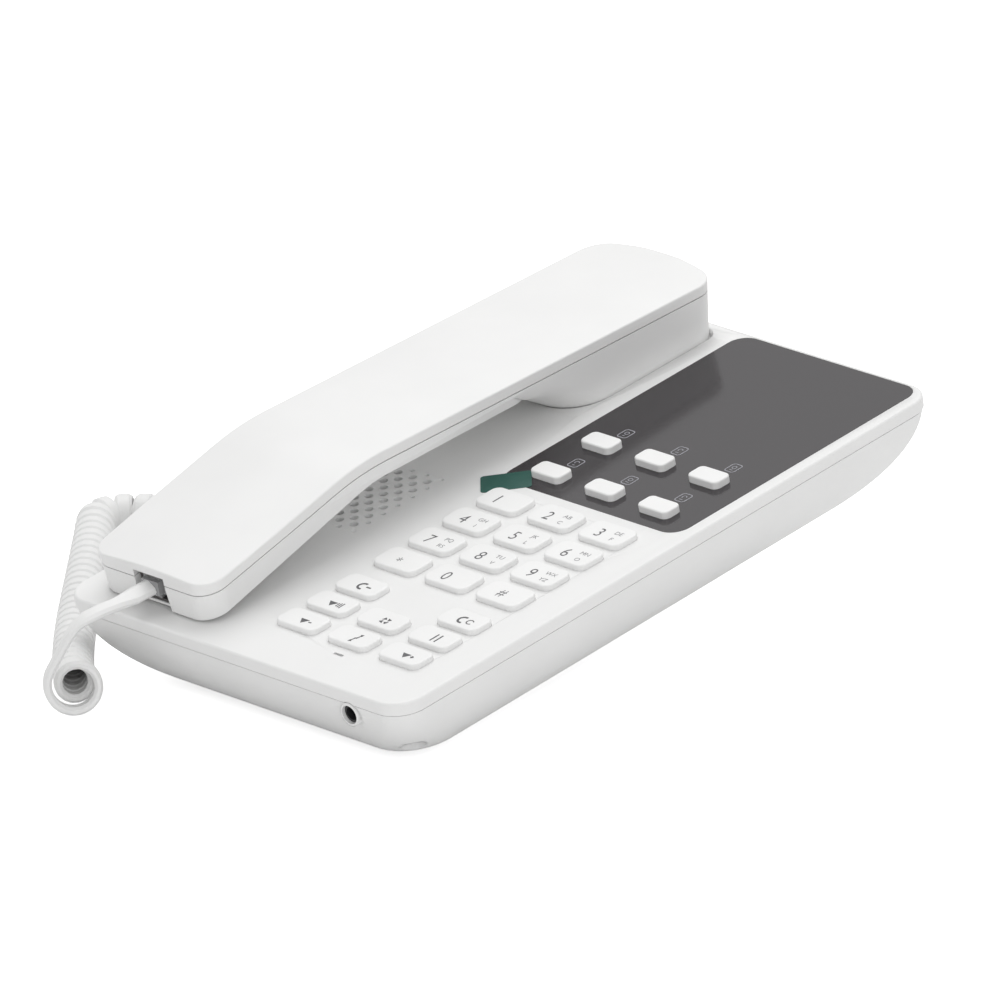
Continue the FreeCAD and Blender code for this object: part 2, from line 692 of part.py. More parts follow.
speaker_top = -size("cover_plate") - size("running_gap")
speaker_profile = [
    (0.0, speaker_top - 1.0),
    (size("speaker_diameter") / 2 - 2.0, speaker_top - 1.0),
    (size("speaker_diameter") / 2 - 2.0, speaker_top),
    (size("speaker_diameter") / 2, speaker_top),
    (size("speaker_diameter") / 2, speaker_top - size("speaker_rim")),
    (size("magnet_diameter") / 2, speaker_top - size("speaker_depth") / 2),
    (size("magnet_diameter") / 2, speaker_top - size("speaker_depth")),
    (0.0, speaker_top - size("speaker_depth")),
]
speaker_middle = Vector(size("grille_middle_across"), size("grille_middle_along"), 0)
speaker_wire = Part.makePolygon([speaker_middle + Vector(r, 0, z) for r, z in speaker_profile + speaker_profile[:1]])
speaker = Part.Face(speaker_wire).revolve(speaker_middle, up, 360)
pieces.append(keep("loudspeaker", speaker))

# Microphone capsule behind the slot at the front of the cover

base_mic = rod(size("mic_diameter"), Vector(size("mic_across"), size("mic_along") - 0.6,
                                            speaker_top - size("mic_thick")), up, size("mic_thick"))
pieces.append(keep("base_microphone", base_mic))

# Lower housing: a boat-shaped shell lofted through rounded rectangles that follow an ellipse,
# cut level with the desk, with a hollow wedge-shaped keel that carries the back

hull_angles = [5.2, 14, 24, 34, 44, 54, 64, 75]


def rounded_wire(across, along, radius, height):
    """A rounded rectangle round the deck's Z axis, as a wire."""
    radius = min(radius, across - 0.5, along - 0.5)
    straight_x, straight_y = across - radius, along - radius
    bend = radius * math.sqrt(0.5)
    edges = []
    for sign_x, sign_y in ((1, -1), (1, 1), (-1, 1), (-1, -1)):
        centre = Vector(sign_x * straight_x, sign_y * straight_y, height)
        side = centre + Vector(sign_x * radius, 0, 0)
        end = centre + Vector(0, sign_y * radius, 0)
        middle = centre + Vector(sign_x * bend, sign_y * bend, 0)
        start, finish = (end, side) if sign_x * sign_y < 0 else (side, end)
        edges.append(Part.Arc(start, middle, finish).toShape())
    wires = []
    for number, edge in enumerate(edges):
        following = edges[(number + 1) % 4]
        wires.append(edge)
        wires.append(Part.makeLine(edge.Vertexes[-1].Point, following.Vertexes[0].Point))
    return Part.Wire(wires)


def hull(inset, top):
    """The hull's solid, drawn in by inset; its first section is extended up to the height top."""
    sections = []
    for degrees in hull_angles:
        angle = math.radians(degrees)
        drawn_in = size("hull_reach") * (1 - math.cos(angle)) + inset
        depth = size("hull_start") + (size("hull_drop") - inset) * math.sin(angle)
        corner = size("base_corner") - inset + size("hull_corner_growth") * (drawn_in - inset)
        sections.append(rounded_wire(half_width - drawn_in, half_length - drawn_in, corner, -depth))
    shell = Part.makeLoft(sections, True, False)
    first = sections[0]
    collar = Part.Face(first).extrude(Vector(0, 0, top - first.BoundBox.ZMin))
    return shell.fuse(collar).removeSplitter() if collar.Volume > 0.01 else shell


hull_top = -size("cover_skirt") - size("seam_gap") / 2
outer = hull(0.0, hull_top + 0.02)
inner = hull(size("shell_wall"), 0.0)
desk_side = Part.makeBox(400, 400, 100, Vector(-200, -200, -100))
desk_side.Placement = Placement(desk_point(0, deck_shift, size("desk_clearance")), level.Rotation)
outer = outer.cut(desk_side)
inner_floor = Part.makeBox(400, 400, 100, Vector(-200, -200, -100))
inner_floor.Placement = Placement(desk_point(0, deck_shift, size("desk_clearance") + size("shell_wall")), level.Rotation)


def keel_solid(inset, bottom, rise):
    """The keel as a prism in the room's frame, turned into the deck's."""
    right_front, right_rear = size("keel_right_front") - inset, size("keel_right_rear") - inset
    left, front, rear = size("keel_left") + inset, size("keel_front") + inset, size("keel_rear") - inset
    points = [Vector(right_front, front, 0), Vector(right_rear, rear, 0), Vector(left, rear, 0), Vector(left, front, 0)]
    prism = Part.Face(Part.makePolygon(points + points[:1])).extrude(Vector(0, 0, rise))
    corners = [edge for edge in prism.Edges if edge.BoundBox.ZLength > rise / 2]
    prism = prism.makeFillet(max(size("keel_corner") - inset, 1.0), corners)
    prism.Placement = Placement(desk_point(0, 0, bottom), level.Rotation)
    return prism


keel_outside = keel_solid(0.0, size("desk_clearance"), size("keel_rise"))
keel_inside = keel_solid(size("shell_wall"), size("desk_clearance") + size("shell_wall"), size("keel_rise"))
housing = outer.fuse(keel_outside)
housing = housing.cut(inner.cut(inner_floor))
housing = housing.cut(keel_inside)

lip_inset = size("shell_wall") + size("running_gap") / 2
lip_outside = Part.Face(rounded_wire(half_width - lip_inset, half_length - lip_inset, size("base_corner") - lip_inset,
                                     hull_top - 3)).extrude(Vector(0, 0, 3 + size("lip_rise")))
lip_hole_inset = lip_inset + size("lip_wall")
lip_inside = Part.Face(rounded_wire(half_width - lip_hole_inset, half_length - lip_hole_inset,
                                    size("base_corner") - lip_hole_inset, hull_top - 4)
                       ).extrude(Vector(0, 0, 8 + size("lip_rise")))
lip = lip_outside.cut(lip_inside)
well_margin = size("recess_floor") + size("running_gap")
well_right, well_rear = value_of(recess_right) + well_margin, value_of(recess_rear) + well_margin
lip = lip.cut(block(well_right - value_of(recess_width) - 2 * well_margin, well_right, value_of(recess_front),
                    well_rear, hull_top, size("lip_rise")))
housing = housing.fuse(lip)

boss_xy = [(value_of(across), value_of(along)) for across, along in boss_places]
hull_core = hull(0.0, hull_top + 0.02)
boss_length = size("hull_drop")
for x, y in boss_xy:
    boss = rod(size("case_boss_diameter"), Vector(x, y, -size("case_boss_joint") - boss_length), up, boss_length)
    housing = housing.fuse(boss.common(hull_core))
for x, y in boss_xy:
    seat = -size("case_screw_seat")
    housing = housing.cut(rod(size("case_screw_head") + size("running_gap") * 2, Vector(x, y, seat - 40), up, 40))
    housing = housing.cut(rod(size("case_screw_hole"), Vector(x, y, seat - 1), up, 20))

# wall openings: headset jack with its collar, network socket, handset cord socket
headset_x, headset_z = size("headset_across"), -size("headset_depth")
front_out = Vector(0, -1, 0)
collar = rod(size("headset_collar"), Vector(headset_x, -half_length + size("shell_wall"), headset_z), front_out,
             size("shell_wall") + size("running_gap"))
housing = housing.fuse(collar)
housing = housing.cut(rod(size("headset_nozzle") + size("running_gap"),
                          Vector(headset_x, -half_length + 8, headset_z), front_out, 12))
nozzle_front = -half_length + 0.6
nozzle_length = size("shell_wall") + 0.4
body_front = nozzle_front + nozzle_length
body_room_x = size("headset_body_width") / 2 + size("running_gap")
body_room_z = size("headset_body_high") / 2 + size("running_gap")
housing = housing.cut(block(headset_x - body_room_x, headset_x + body_room_x, body_front - size("running_gap"),
                            body_front + size("headset_body_length") + size("running_gap"),
                            headset_z - body_room_z, headset_z + body_room_z + 1.5))

network_z = -size("network_depth")
clear = size("running_gap")
housing = housing.cut(block(size("network_across") - size("network_width") / 2 - clear,
                            size("network_across") + size("network_width") / 2 + clear,
                            size("network_face") - size("network_length") - clear, half_length + 1,
                            network_z - size("network_high") / 2 - clear, network_z + size("network_high") / 2 + clear))
socket_y, socket_z = size("cord_socket_along"), -size("cord_socket_depth")
housing = housing.cut(block(-half_width - 1, size("cord_socket_face") + size("cord_socket_length") + clear,
                            socket_y - size("cord_socket_width") / 2 - clear,
                            socket_y + size("cord_socket_width") / 2 + clear,
                            socket_z - size("cord_socket_high") / 2 - clear,
                            socket_z + size("cord_socket_high") / 2 + clear))

# post under the hook switch
switch_top = -size("cover_plate") - size("hook_high") - clear
switch_bottom = switch_top - size("hook_switch_high")
hook_x, hook_y = size("hook_across"), size("hook_along")
half_switch_x, half_switch_y = size("hook_switch_width") / 2, size("hook_switch_length") / 2
switch_post = block(hook_x - half_switch_x, hook_x + half_switch_x, hook_y - half_switch_y, hook_y + half_switch_y,
                    switch_bottom - 40, switch_bottom)
housing = housing.fuse(switch_post.common(hull_core))

# round seats for the rubber feet
foot_places = [
    (-size("foot_side"), size("foot_front_row")), (size("foot_side"), size("foot_front_row")),
    (-size("foot_side"), size("foot_rear_row")), (size("foot_rear_right"), size("foot_rear_row")),
]
desk_up = level.Rotation.multVec(up)
for x, y in foot_places:
    seat = rod(size("foot_diameter") + clear, desk_point(x, y, size("desk_clearance") - 1), desk_up,
               size("foot_thickness") - size("desk_clearance") + 1)
    housing = housing.cut(seat)
pieces.append(keep("lower_housing", housing.removeSplitter()))

feet = [rod(size("foot_diameter"), Vector(x, y, 0), up, size("foot_thickness")) for x, y in foot_places]
pieces.append(keep("rubber_feet", Part.makeCompound(feet), Placement(Vector(0, 0, 0), Rotation())))

case_screws = [screw(x, y, -size("case_screw_seat"), size("case_screw_seat") - 3.5, size("post_hole"),
                     size("case_screw_head"), size("case_screw_head_high")) for x, y in boss_xy]
pieces.append(keep("housing_screws", Part.makeCompound(case_screws)))

# Headset jack: a black socket with a round nozzle, on the board behind the front wall

jack_body = block(headset_x - size("headset_body_width") / 2, headset_x + size("headset_body_width") / 2,
                  body_front, body_front + size("headset_body_length"),
                  headset_z - size("headset_body_high") / 2, headset_z + size("headset_body_high") / 2)
headset_jack = jack_body.fuse(rod(size("headset_nozzle"), Vector(headset_x, body_front, headset_z), front_out,
                                  nozzle_length))
headset_jack = headset_jack.cut(rod(size("headset_bore"), Vector(headset_x, nozzle_front - 1, headset_z),
                                    Vector(0, 1, 0), size("headset_bore_length") + 1))
pieces.append(keep("headset_jack", headset_jack.removeSplitter()))

# Network socket: an eight-way modular socket with its latch slot downwards

network_back = size("network_face") - size("network_length")
network = block(size("network_across") - size("network_width") / 2, size("network_across") + size("network_width") / 2,
                network_back, size("network_face"), network_z - size("network_high") / 2,
                network_z + size("network_high") / 2)
plug_room_top = network_z + size("network_plug_high") / 2 + 1.0
network = network.cut(block(size("network_across") - size("network_plug_width") / 2,
                            size("network_across") + size("network_plug_width") / 2,
                            size("network_face") - size("network_plug_length"), size("network_face") + 1,
                            plug_room_top - size("network_plug_high"), plug_room_top))
network = network.cut(block(size("network_across") - size("network_latch_width") / 2,
                            size("network_across") + size("network_latch_width") / 2,
                            size("network_face") - size("network_plug_length"), size("network_face") + 1,
                            plug_room_top - size("network_plug_high") - size("network_latch_high"), plug_room_top))
pieces.append(keep("network_socket", network))


# Handset cord sockets and plugs: four-way modular, the socket a box open at one end

def modular_socket(width, high, length):
    """Open towards -X, its face at X = 0, centred on the X axis."""
    box = block(0, length, -width / 2, width / 2, -high / 2, high / 2)
    room_width = size("plug_width") / 2 + size("plug_gap")
    room_high = size("plug_high") / 2 + size("plug_gap")
    return box.cut(block(-1, size("plug_length"), -room_width, room_width, -room_high, room_high))


def modular_plug(cord_length):
    """Points to +X with its nose at X = 0; the latch bar lies along its underside."""
    length = size("plug_length")
    half_w, half_h = size("plug_width") / 2, size("plug_high") / 2
    front = block(-length, 0, -half_w, half_w, -half_h + 1.4, half_h)
    latch = block(-length, -1.5, -half_w / 2, half_w / 2, -half_h, -half_h + 1.0)
    root_of_latch = block(-2.5, -1.0, -half_w / 2, half_w / 2, -half_h, -half_h + 1.6)
    collar = block(-length - cord_length, -length, -half_w + 0.8, half_w - 0.8, -1.4, half_h - 0.6)
    return front.fuse([latch, root_of_latch, collar]).removeSplitter()


plug_collar = 1.6
cord_socket = modular_socket(size("cord_socket_width"), size("cord_socket_high"), size("cord_socket_length"))
pieces.append(keep("cord_socket", cord_socket, on_deck(size("cord_socket_face"), socket_y, socket_z)))
base_plug_nose = size("cord_socket_face") + size("plug_length") - clear
base_plug = modular_plug(plug_collar)
pieces.append(keep("base_plug", base_plug, on_deck(base_plug_nose, socket_y, socket_z)))

# Hook plunger in the ear-cup recess, and the switch that it presses

plunger_top = -size("cover_plate")
plunger = block(hook_x - size("hook_width") / 2, hook_x + size("hook_width") / 2,
                hook_y - size("hook_length") / 2, hook_y + size("hook_length") / 2,
                plunger_top - size("hook_high"), plunger_top)
collar_top = plunger_top - size("recess_floor") - 4.0
collar_block = block(hook_x - size("hook_width") / 2 - size("hook_flange"),
                     hook_x + size("hook_width") / 2 + size("hook_flange"),
                     hook_y - size("hook_length") / 2 - size("hook_flange"),
                     hook_y + size("hook_length") / 2 + size("hook_flange"), collar_top - 1.2, collar_top)
pieces.append(keep("hook_plunger", plunger.fuse(collar_block).removeSplitter()))
hook_switch = block(hook_x - half_switch_x, hook_x + half_switch_x, hook_y - half_switch_y, hook_y + half_switch_y,
                    switch_bottom, switch_top)
pieces.append(keep("hook_switch", hook_switch))

# Handset: one outer form from its side profile and plan, split along the seam below its top


def tangent_arc(before, corner, after, radius):
    """The arc of this radius that rounds a corner of a path, with its two tangent points."""
    back, ahead = (before - corner).normalize(), (after - corner).normalize()
    half = back.getAngle(ahead) / 2
    reach = radius / math.tan(half)
    bisector = (back + ahead).normalize()
    middle = corner + bisector * (radius / math.sin(half) - radius)
    start, finish = corner + back * reach, corner + ahead * reach
    return start, Part.Arc(start, middle, finish).toShape(), finish


def rounded_path(points, radii):
    """Lines through the points, with each inner corner rounded by its radius (0 keeps it sharp)."""
    edges = []
    start = points[0]
    for number in range(1, len(points) - 1):
        if radii[number - 1] > 0:
            first, arc, last = tangent_arc(points[number - 1], points[number], points[number + 1], radii[number - 1])
            edges.append(Part.makeLine(start, first))
            edges.append(arc)
            start = last
        else:
            edges.append(Part.makeLine(start, points[number]))
            start = points[number]
    edges.append(Part.makeLine(start, points[-1]))
    return edges


def side(along, height):
    return Vector(0, along, height)


def top_points(drop):
    """The handset's top line, lowered by drop: mouth end, bend, ear end."""
    return [side(size("handset_front"), size("handset_front_top") - drop),
            side(size("handset_bend_along"), size("handset_bend_top") - drop),
            side(size("handset_rear"), size("handset_rear_top") - drop)]


def handset_profile(inset):
    """The whole side profile as a face across X, drawn in by inset."""
    top = top_points(inset)
    top[0] = top[0] + side(inset, 0)
    top[2] = top[2] + side(-inset, 0)
    under = [
        side(size("pod_rear") - inset, size("pod_bottom") + inset),
        side(size("pod_front") + inset, size("pod_bottom") + inset),
        side(size("grip_rear_along") + inset / 2, size("grip_rear_height") + inset),
        side(size("grip_front_along"), size("grip_front_height") + inset),
        side(size("handset_front") + inset, size("mouth_edge_height") + inset),
    ]
    radius = size("pod_blend")
    points = top + under + [top[0]]
    radii = [size("handset_bend_radius"), 0, 0, 3.0, radius, 40.0, 0]
    return Part.Face(Part.Wire(rounded_path(points, radii)))


def handset_plan(inset, height, draft):
    """The plan outline at one height: straight sides, rounded mouth end, bulged ear end."""
    half = size("handset_width") / 2 - inset - draft
    middle = size("handset_across")
    front, rear = size("handset_front") + inset + draft, size("handset_rear") - inset - draft
    bend, back_bend = size("handset_front_corner"), size("handset_rear_corner")
    bulge = size("handset_rear_bulge")
    shoulder = rear - bulge
    start = Vector(middle - half, 0, height)
    points = [start, Vector(middle - half, front, height), Vector(middle + half, front, height),
              Vector(middle + half, shoulder, height)]
    edges = rounded_path(points[:3] + [Vector(middle + half, 0, height)], [bend, bend])
    rear_points = [Vector(middle + half, 0, height), Vector(middle + half, shoulder, height),
                   Vector(middle, rear + bulge / 2, height), Vector(middle - half, shoulder, height), start]
    edges += rounded_path(rear_points, [back_bend, 60.0, back_bend])
    return Part.Wire(edges)


def crowned(solid, drop):
    """Trims a solid under the crowned top surface, a shallow arc swept along the top line."""
    half = size("handset_width") / 2
    crown = size("handset_crown")
    points = top_points(drop - crown)
    path = rounded_path(points, [size("handset_bend_radius")])
    direction = (points[1] - points[0]).normalize()
    start = points[0] - direction * 20
    path[0] = Part.makeLine(start, path[0].Vertexes[-1].Point)
    last = path[-1]
    tail = (points[2] - points[1]).normalize()
    path[-1] = Part.makeLine(last.Vertexes[0].Point, points[2] + tail * 20)
    normal = Vector(0, -direction.z, direction.y)
    shift = Vector(size("handset_across"), 0, 0)
    spread = half + 6
    fall = crown * (spread / half) ** 2
    left, right = start + shift - Vector(spread, 0, 0) - normal * fall, start + shift + Vector(spread, 0, 0) - normal * fall
    arc = Part.Arc(left, start + shift, right).toShape()
    deep = normal * -40
    section = Part.Wire([arc, Part.makeLine(right, right + deep), Part.makeLine(right + deep, left + deep),
                         Part.makeLine(left + deep, left)])
    spine = Part.Wire(path)
    spine.translate(shift)
    trimmed = spine.makePipeShell([section], True, False)
    return solid.common(trimmed)


def raised_solid(inset):
    """The handset's form with room for the crown above its edge line."""
    width = 60.0
    top = top_points(inset - size("handset_crown") - 1)
    profile = handset_profile(inset)
    rear_lean = (size("handset_rear") - size("pod_rear")) / (size("handset_rear_top") - size("pod_bottom"))
    overhang = (size("handset_crown") + 1) * rear_lean
    cap_points = [top[0] + side(inset, 0), top[1], top[2] + side(overhang - inset, 0)]
    lower = top_points(inset + 1)
    lower_points = [lower[0] + side(inset, 0), lower[1], lower[2] - side(inset + rear_lean, 0)]
    upper_edges = rounded_path(cap_points, [size("handset_bend_radius")])
    lower_edges = rounded_path(lower_points, [size("handset_bend_radius")])
    joint_front = Part.makeLine(cap_points[0], lower_points[0])
    joint_rear = Part.makeLine(cap_points[2], lower_points[2])
    band = Part.Face(Part.Wire(Part.__sortEdges__(upper_edges + lower_edges + [joint_front, joint_rear])))
    offset = Vector(size("handset_across") - width / 2, 0, 0)
    slab = profile.extrude(Vector(width, 0, 0)).fuse(band.extrude(Vector(width, 0, 0)))
    slab.translate(offset)
    low, high = -10.0, 35.0
    drafted_below = size("handset_draft_top")
    wires = [handset_plan(inset, z, (drafted_below - z) * size("handset_draft")) for z in (low, drafted_below)]
    lower_part = Part.makeLoft(wires, True, True)
    upper_part = Part.Face(wires[1]).extrude(Vector(0, 0, high - drafted_below))
    return slab.common(lower_part.fuse(upper_part).removeSplitter())


def top_rim(solid):
    """The edges where the handset's sides meet its top."""
    found = []
    for edge in solid.Edges:
        place = edge.valueAt((edge.FirstParameter + edge.LastParameter) / 2)
        faces = solid.ancestorsOfType(edge, Part.Face)
        tilts = sorted(face.normalAt(*face.Surface.parameter(place)).z for face in faces)
        if len(tilts) == 2 and tilts[0] < 0.4 and tilts[1] > 0.8:
            found.append(edge)
    return found


handset_outside = crowned(raised_solid(0.0), 0.0)
handset_inside = crowned(raised_solid(size("handset_wall")), size("handset_wall"))


def above_seam(drop, thickness):
    """A thick sheet over the seam line: what lies in it belongs to the outer shell."""
    lower = rounded_path([point for point in top_points(drop)], [size("handset_bend_radius")])
    first = lower[0].Vertexes[0].Point
    last = lower[-1].Vertexes[-1].Point
    front = first + side(-20, -20 * 0.2)
    rear = last + side(20, -20 * 0.04)
    edges = [Part.makeLine(front, first)] + lower + [Part.makeLine(last, rear)]
    lifted = [Part.makeLine(rear, rear + side(0, thickness)), Part.makeLine(rear + side(0, thickness),
                                                                           front + side(0, thickness)),
              Part.makeLine(front + side(0, thickness), front)]
    face = Part.Face(Part.Wire(edges + lifted))
    sheet_solid = face.extrude(Vector(80, 0, 0))
    sheet_solid.translate(Vector(size("handset_across") - 40, 0, 0))
    return sheet_solid


seam = size("handset_band")
half_seam = size("seam_gap") / 2
outer_shell = handset_outside.common(above_seam(seam - half_seam, 60))
outer_shell = outer_shell.makeFillet(size("handset_edge"), top_rim(outer_shell)).cut(handset_inside)
inner_shell = handset_outside.cut(above_seam(seam + half_seam, 60)).cut(handset_inside)

middle_x = size("handset_across")
notch_front = size("handset_front") - 2
notch_rear = size("handset_front") + size("notch_depth")
notch_half_top, notch_half_bottom = size("notch_top") / 2, size("notch_bottom") / 2
notch_ceiling = size("handset_front_top") - seam - half_seam
notch_points = [Vector(middle_x - notch_half_bottom, notch_front, -2), Vector(middle_x + notch_half_bottom, notch_front, -2),
                Vector(middle_x + notch_half_top, notch_front, notch_ceiling + 0.6),
                Vector(middle_x - notch_half_top, notch_front, notch_ceiling + 0.6)]
notch = Part.Face(Part.makePolygon(notch_points + notch_points[:1])).extrude(Vector(0, notch_rear - notch_front, 0))
socket_half, socket_floor = size("socket_width") / 2 + clear, size("socket_floor") - clear
socket_room = block(middle_x - socket_half, middle_x + socket_half, notch_front, notch_rear + size("socket_length") + clear,
                    socket_floor, socket_floor + size("socket_high") + 2 * clear)
inner_shell = inner_shell.cut(notch).cut(socket_room)
outer_shell = outer_shell.cut(socket_room)

ear_y = size("earpiece_along")
ear_places = [Vector(middle_x, ear_y, -10)]
ear_places += [Vector(middle_x + size("ear_hole_ring") * math.cos(math.radians(step)),
                      ear_y + size("ear_hole_ring") * math.sin(math.radians(step)), -10) for step in range(0, 360, 60)]
for place in ear_places:
    inner_shell = inner_shell.cut(rod(size("ear_hole"), place, up, 14))
inner_shell = inner_shell.cut(rod(size("ear_hole"), Vector(middle_x, size("capsule_along"), -10), up, 21))


def underside(along):
    """Height of the handset's lower face at a place between its mouth end and its grip."""
    if along < size("grip_front_along"):
        share = (along - size("handset_front")) / (size("grip_front_along") - size("handset_front"))
        return size("mouth_edge_height") + share * (size("grip_front_height") - size("mouth_edge_height"))
    share = (along - size("grip_front_along")) / (size("grip_rear_along") - size("grip_front_along"))
    return size("grip_front_height") + share * (size("grip_rear_height") - size("grip_front_height"))


handset_screw_list = []
for along in (size("handset_screw_front"), size("handset_screw_rear")):
    floor = underside(along)
    head_seat = floor + 1.6
    boss = rod(size("handset_screw_head") + 2.4, Vector(middle_x, along, floor + 1.0), up, 4.4)
    pillar = boss.common(handset_outside).cut(above_seam(seam + half_seam, 60))
    inner_shell = inner_shell.fuse(pillar)
    inner_shell = inner_shell.cut(rod(size("handset_screw_head") + clear, Vector(middle_x, along, floor - 3), up,
                                      head_seat - floor + 3))
    inner_shell = inner_shell.cut(rod(size("handset_screw_diameter") + clear, Vector(middle_x, along, floor), up, 10))
    handset_screw_list.append(screw(middle_x, along, head_seat, 4.2, size("handset_screw_diameter"),
                                    size("handset_screw_head"), 1.3))
pieces.append(keep("handset_outer_shell", outer_shell.removeSplitter()))
pieces.append(keep("handset_inner_shell", inner_shell.removeSplitter()))
pieces.append(keep("handset_screws", Part.makeCompound(handset_screw_list)))

ear_floor = size("pod_bottom") + size("handset_wall") + clear
pieces.append(keep("earpiece", rod(size("earpiece_diameter"), Vector(middle_x, ear_y, ear_floor), up,
                                   size("earpiece_thick"))))
weight_floor = ear_floor + size("earpiece_thick") + clear
pieces.append(keep("handset_weight", block(middle_x - size("weight_width") / 2, middle_x + size("weight_width") / 2,
                                           ear_y - size("weight_length") / 2, ear_y + size("weight_length") / 2,
                                           weight_floor, weight_floor + size("weight_thick"))))
capsule_floor = underside(size("capsule_along") + 3) + size("handset_wall") + clear + 0.3
pieces.append(keep("handset_microphone", rod(size("capsule_diameter"), Vector(middle_x, size("capsule_along"),
                                                                             capsule_floor), up,
                                             size("capsule_thick"))))
socket_middle = size("socket_floor") + size("socket_high") / 2
quarter_left = Rotation(Vector(0, 0, 1), 90)
handset_socket = modular_socket(size("socket_width"), size("socket_high"), size("socket_length"))
pieces.append(keep("handset_socket", handset_socket, on_deck(middle_x, notch_rear, socket_middle, quarter_left)))
handset_plug_nose = notch_rear + size("plug_length") - clear
pieces.append(keep("handset_plug", modular_plug(plug_collar),
                   on_deck(middle_x, handset_plug_nose, socket_middle, quarter_left)))

# Curly cord: a straight-ended tail at each end and one unbroken coil of 32 curls

axis_edges = rounded_path(coil_axis, [size("coil_sweep_radius"), size("coil_bend_radius")])
axis_starts = [0.0]
for edge in axis_edges:
    axis_starts.append(axis_starts[-1] + edge.Length)
bend_start, bend_end = axis_starts[3], axis_starts[4]


def axis_at(distance):
    """The point and the direction of the coil's axis at a distance along it."""
    number = max(index for index, start in enumerate(axis_starts[:-1]) if start <= distance)
    edge = axis_edges[number]
    parameter = edge.getParameterByLength(distance - axis_starts[number])
    return edge.valueAt(parameter), edge.tangentAt(parameter).normalize()


def pitch_at(distance):
    """The coil's pitch, wider in the sharp bend so that its inner side keeps clear."""
    beyond = max(bend_start - distance, distance - bend_end, 0.0)
    near = max(0.0, 1 - beyond / (2 * size("coil_pitch")))
    return size("coil_pitch") + (size("coil_bend_pitch") - size("coil_pitch")) * near


steps_per_turn = 24
coil_distances = [0.0]
for step in range(int(size("coil_turns") * steps_per_turn) + steps_per_turn):
    coil_distances.append(coil_distances[-1] + pitch_at(coil_distances[-1]) / steps_per_turn)


def coil_point(turns):
    """A point of the coiled line after so many turns; the first curl is wider."""
    place = turns * steps_per_turn
    low = int(place)
    share = place - low
    distance = coil_distances[low] * (1 - share) + coil_distances[low + 1] * share
    middle, ahead = axis_at(distance)
    sideways = Vector(ahead.y, -ahead.x, 0).normalize()
    upwards = sideways.cross(ahead)
    flare = max(0.0, 1 - turns / size("coil_flare_turns"))
    radius = size("coil_radius") + size("coil_flare") * flare ** 2
    angle = math.radians(size("coil_entry_angle") + 360 * turns)
    return middle + sideways * (radius * math.cos(angle)) + upwards * (radius * math.sin(angle))


def coil_direction(turns):
    step = 0.001
    return (coil_point(turns + step) - coil_point(max(0.0, turns - step))).normalize()


def biarc(start, start_way, finish, finish_way):
    """Two arcs that join two points with the given directions."""
    chord = finish - start
    both = start_way + finish_way
    spread = 2 * (1 - start_way.dot(finish_way))
    reach = (math.sqrt(chord.dot(both) ** 2 + spread * chord.dot(chord)) - chord.dot(both)) / spread
    first_corner, last_corner = start + start_way * reach, finish - finish_way * reach
    joint = (first_corner + last_corner) * 0.5
    arcs = []
    for begin, corner, end in ((start, first_corner, joint), (joint, last_corner, finish)):
        middle = (begin + end) * 0.5
        cosine = (end - begin).Length / (2 * reach)
        arcs.append(Part.Arc(begin, middle + (corner - middle) * (cosine / (1 + cosine)), end).toShape())
    return arcs


def cord_along(edges, name):
    """A round cord swept along the edges; its volume is compared with section times length."""
    start = edges[0].Vertexes[0].Point
    way = (edges[0].Vertexes[-1].Point - start).normalize()
    ring = Part.Wire([Part.makeCircle(size("cord_tube") / 2, start, way)])
    tube = Part.Wire(edges).makePipeShell([ring], True, False)
    length = sum(edge.Length for edge in edges)
    section = math.pi * size("cord_tube") ** 2 / 4
    print(name, "length", round(length, 1), "mm, volume over section times length",
          round(tube.Volume / (section * length), 4))
    return tube


def tail_edges(points, name):
    """Straight runs joined by tangent arcs that use up most of the shorter run beside them."""
    radii = []
    for before, corner, after in zip(points, points[1:], points[2:]):
        turn = (corner - before).getAngle(after - corner)
        shorter = min((corner - before).Length, (after - corner).Length)
        radii.append(size("tail_fullness") * shorter / math.tan(turn / 2))
    print(name, "arc radii in mm:", [round(radius, 1) for radius in radii])
    return rounded_path(points, radii)


half_turns = round(2 * size("coil_turns"))
coil_points = [coil_point(number / 2) for number in range(half_turns + 1)]
coil_ways = [coil_direction(number / 2) for number in range(half_turns + 1)]
coil_in = coil_points[0] - coil_ways[0] * size("cord_tube")
coil_out = coil_points[-1] + coil_ways[-1] * size("cord_tube")
coil_edges = [Part.makeLine(coil_in, coil_points[0])]
for number in range(half_turns):
    coil_edges += biarc(coil_points[number], coil_ways[number], coil_points[number + 1], coil_ways[number + 1])
coil_edges.append(Part.makeLine(coil_points[-1], coil_out))

samples = []
for edge in coil_edges:
    samples += [(point.x, point.y, point.z) for point in edge.discretize(max(3, int(edge.Length / 0.5)))[:-1]]
apart = 20
least = min(math.dist(samples[first], samples[second])
            for first in range(len(samples)) for second in range(first + apart, min(len(samples), first + 150)))
print("curls in the coil", size("coil_turns"), "least gap to itself", round(least - size("cord_tube"), 2), "mm")
room = Placement(Vector(0, 0, 0), Rotation())
pieces.append(keep("curly_coil", cord_along(coil_edges, "curly_coil"), room))

collar_centre = (size("plug_high") / 2 - 0.6 - 1.4) / 2
handset_exit = deck.multVec(Vector(middle_x, handset_plug_nose - size("plug_length") - plug_collar,
                                   socket_middle + collar_centre))
handset_way = deck.Rotation.multVec(Vector(0, -1, 0))
handset_tail_points = [handset_exit, handset_exit + handset_way * size("handset_tail_exit"),
                       coil_in - coil_ways[0] * size("handset_tail_entry"), coil_in]
pieces.append(keep("handset_tail", cord_along(tail_edges(handset_tail_points, "handset_tail"), "handset_tail"), room))

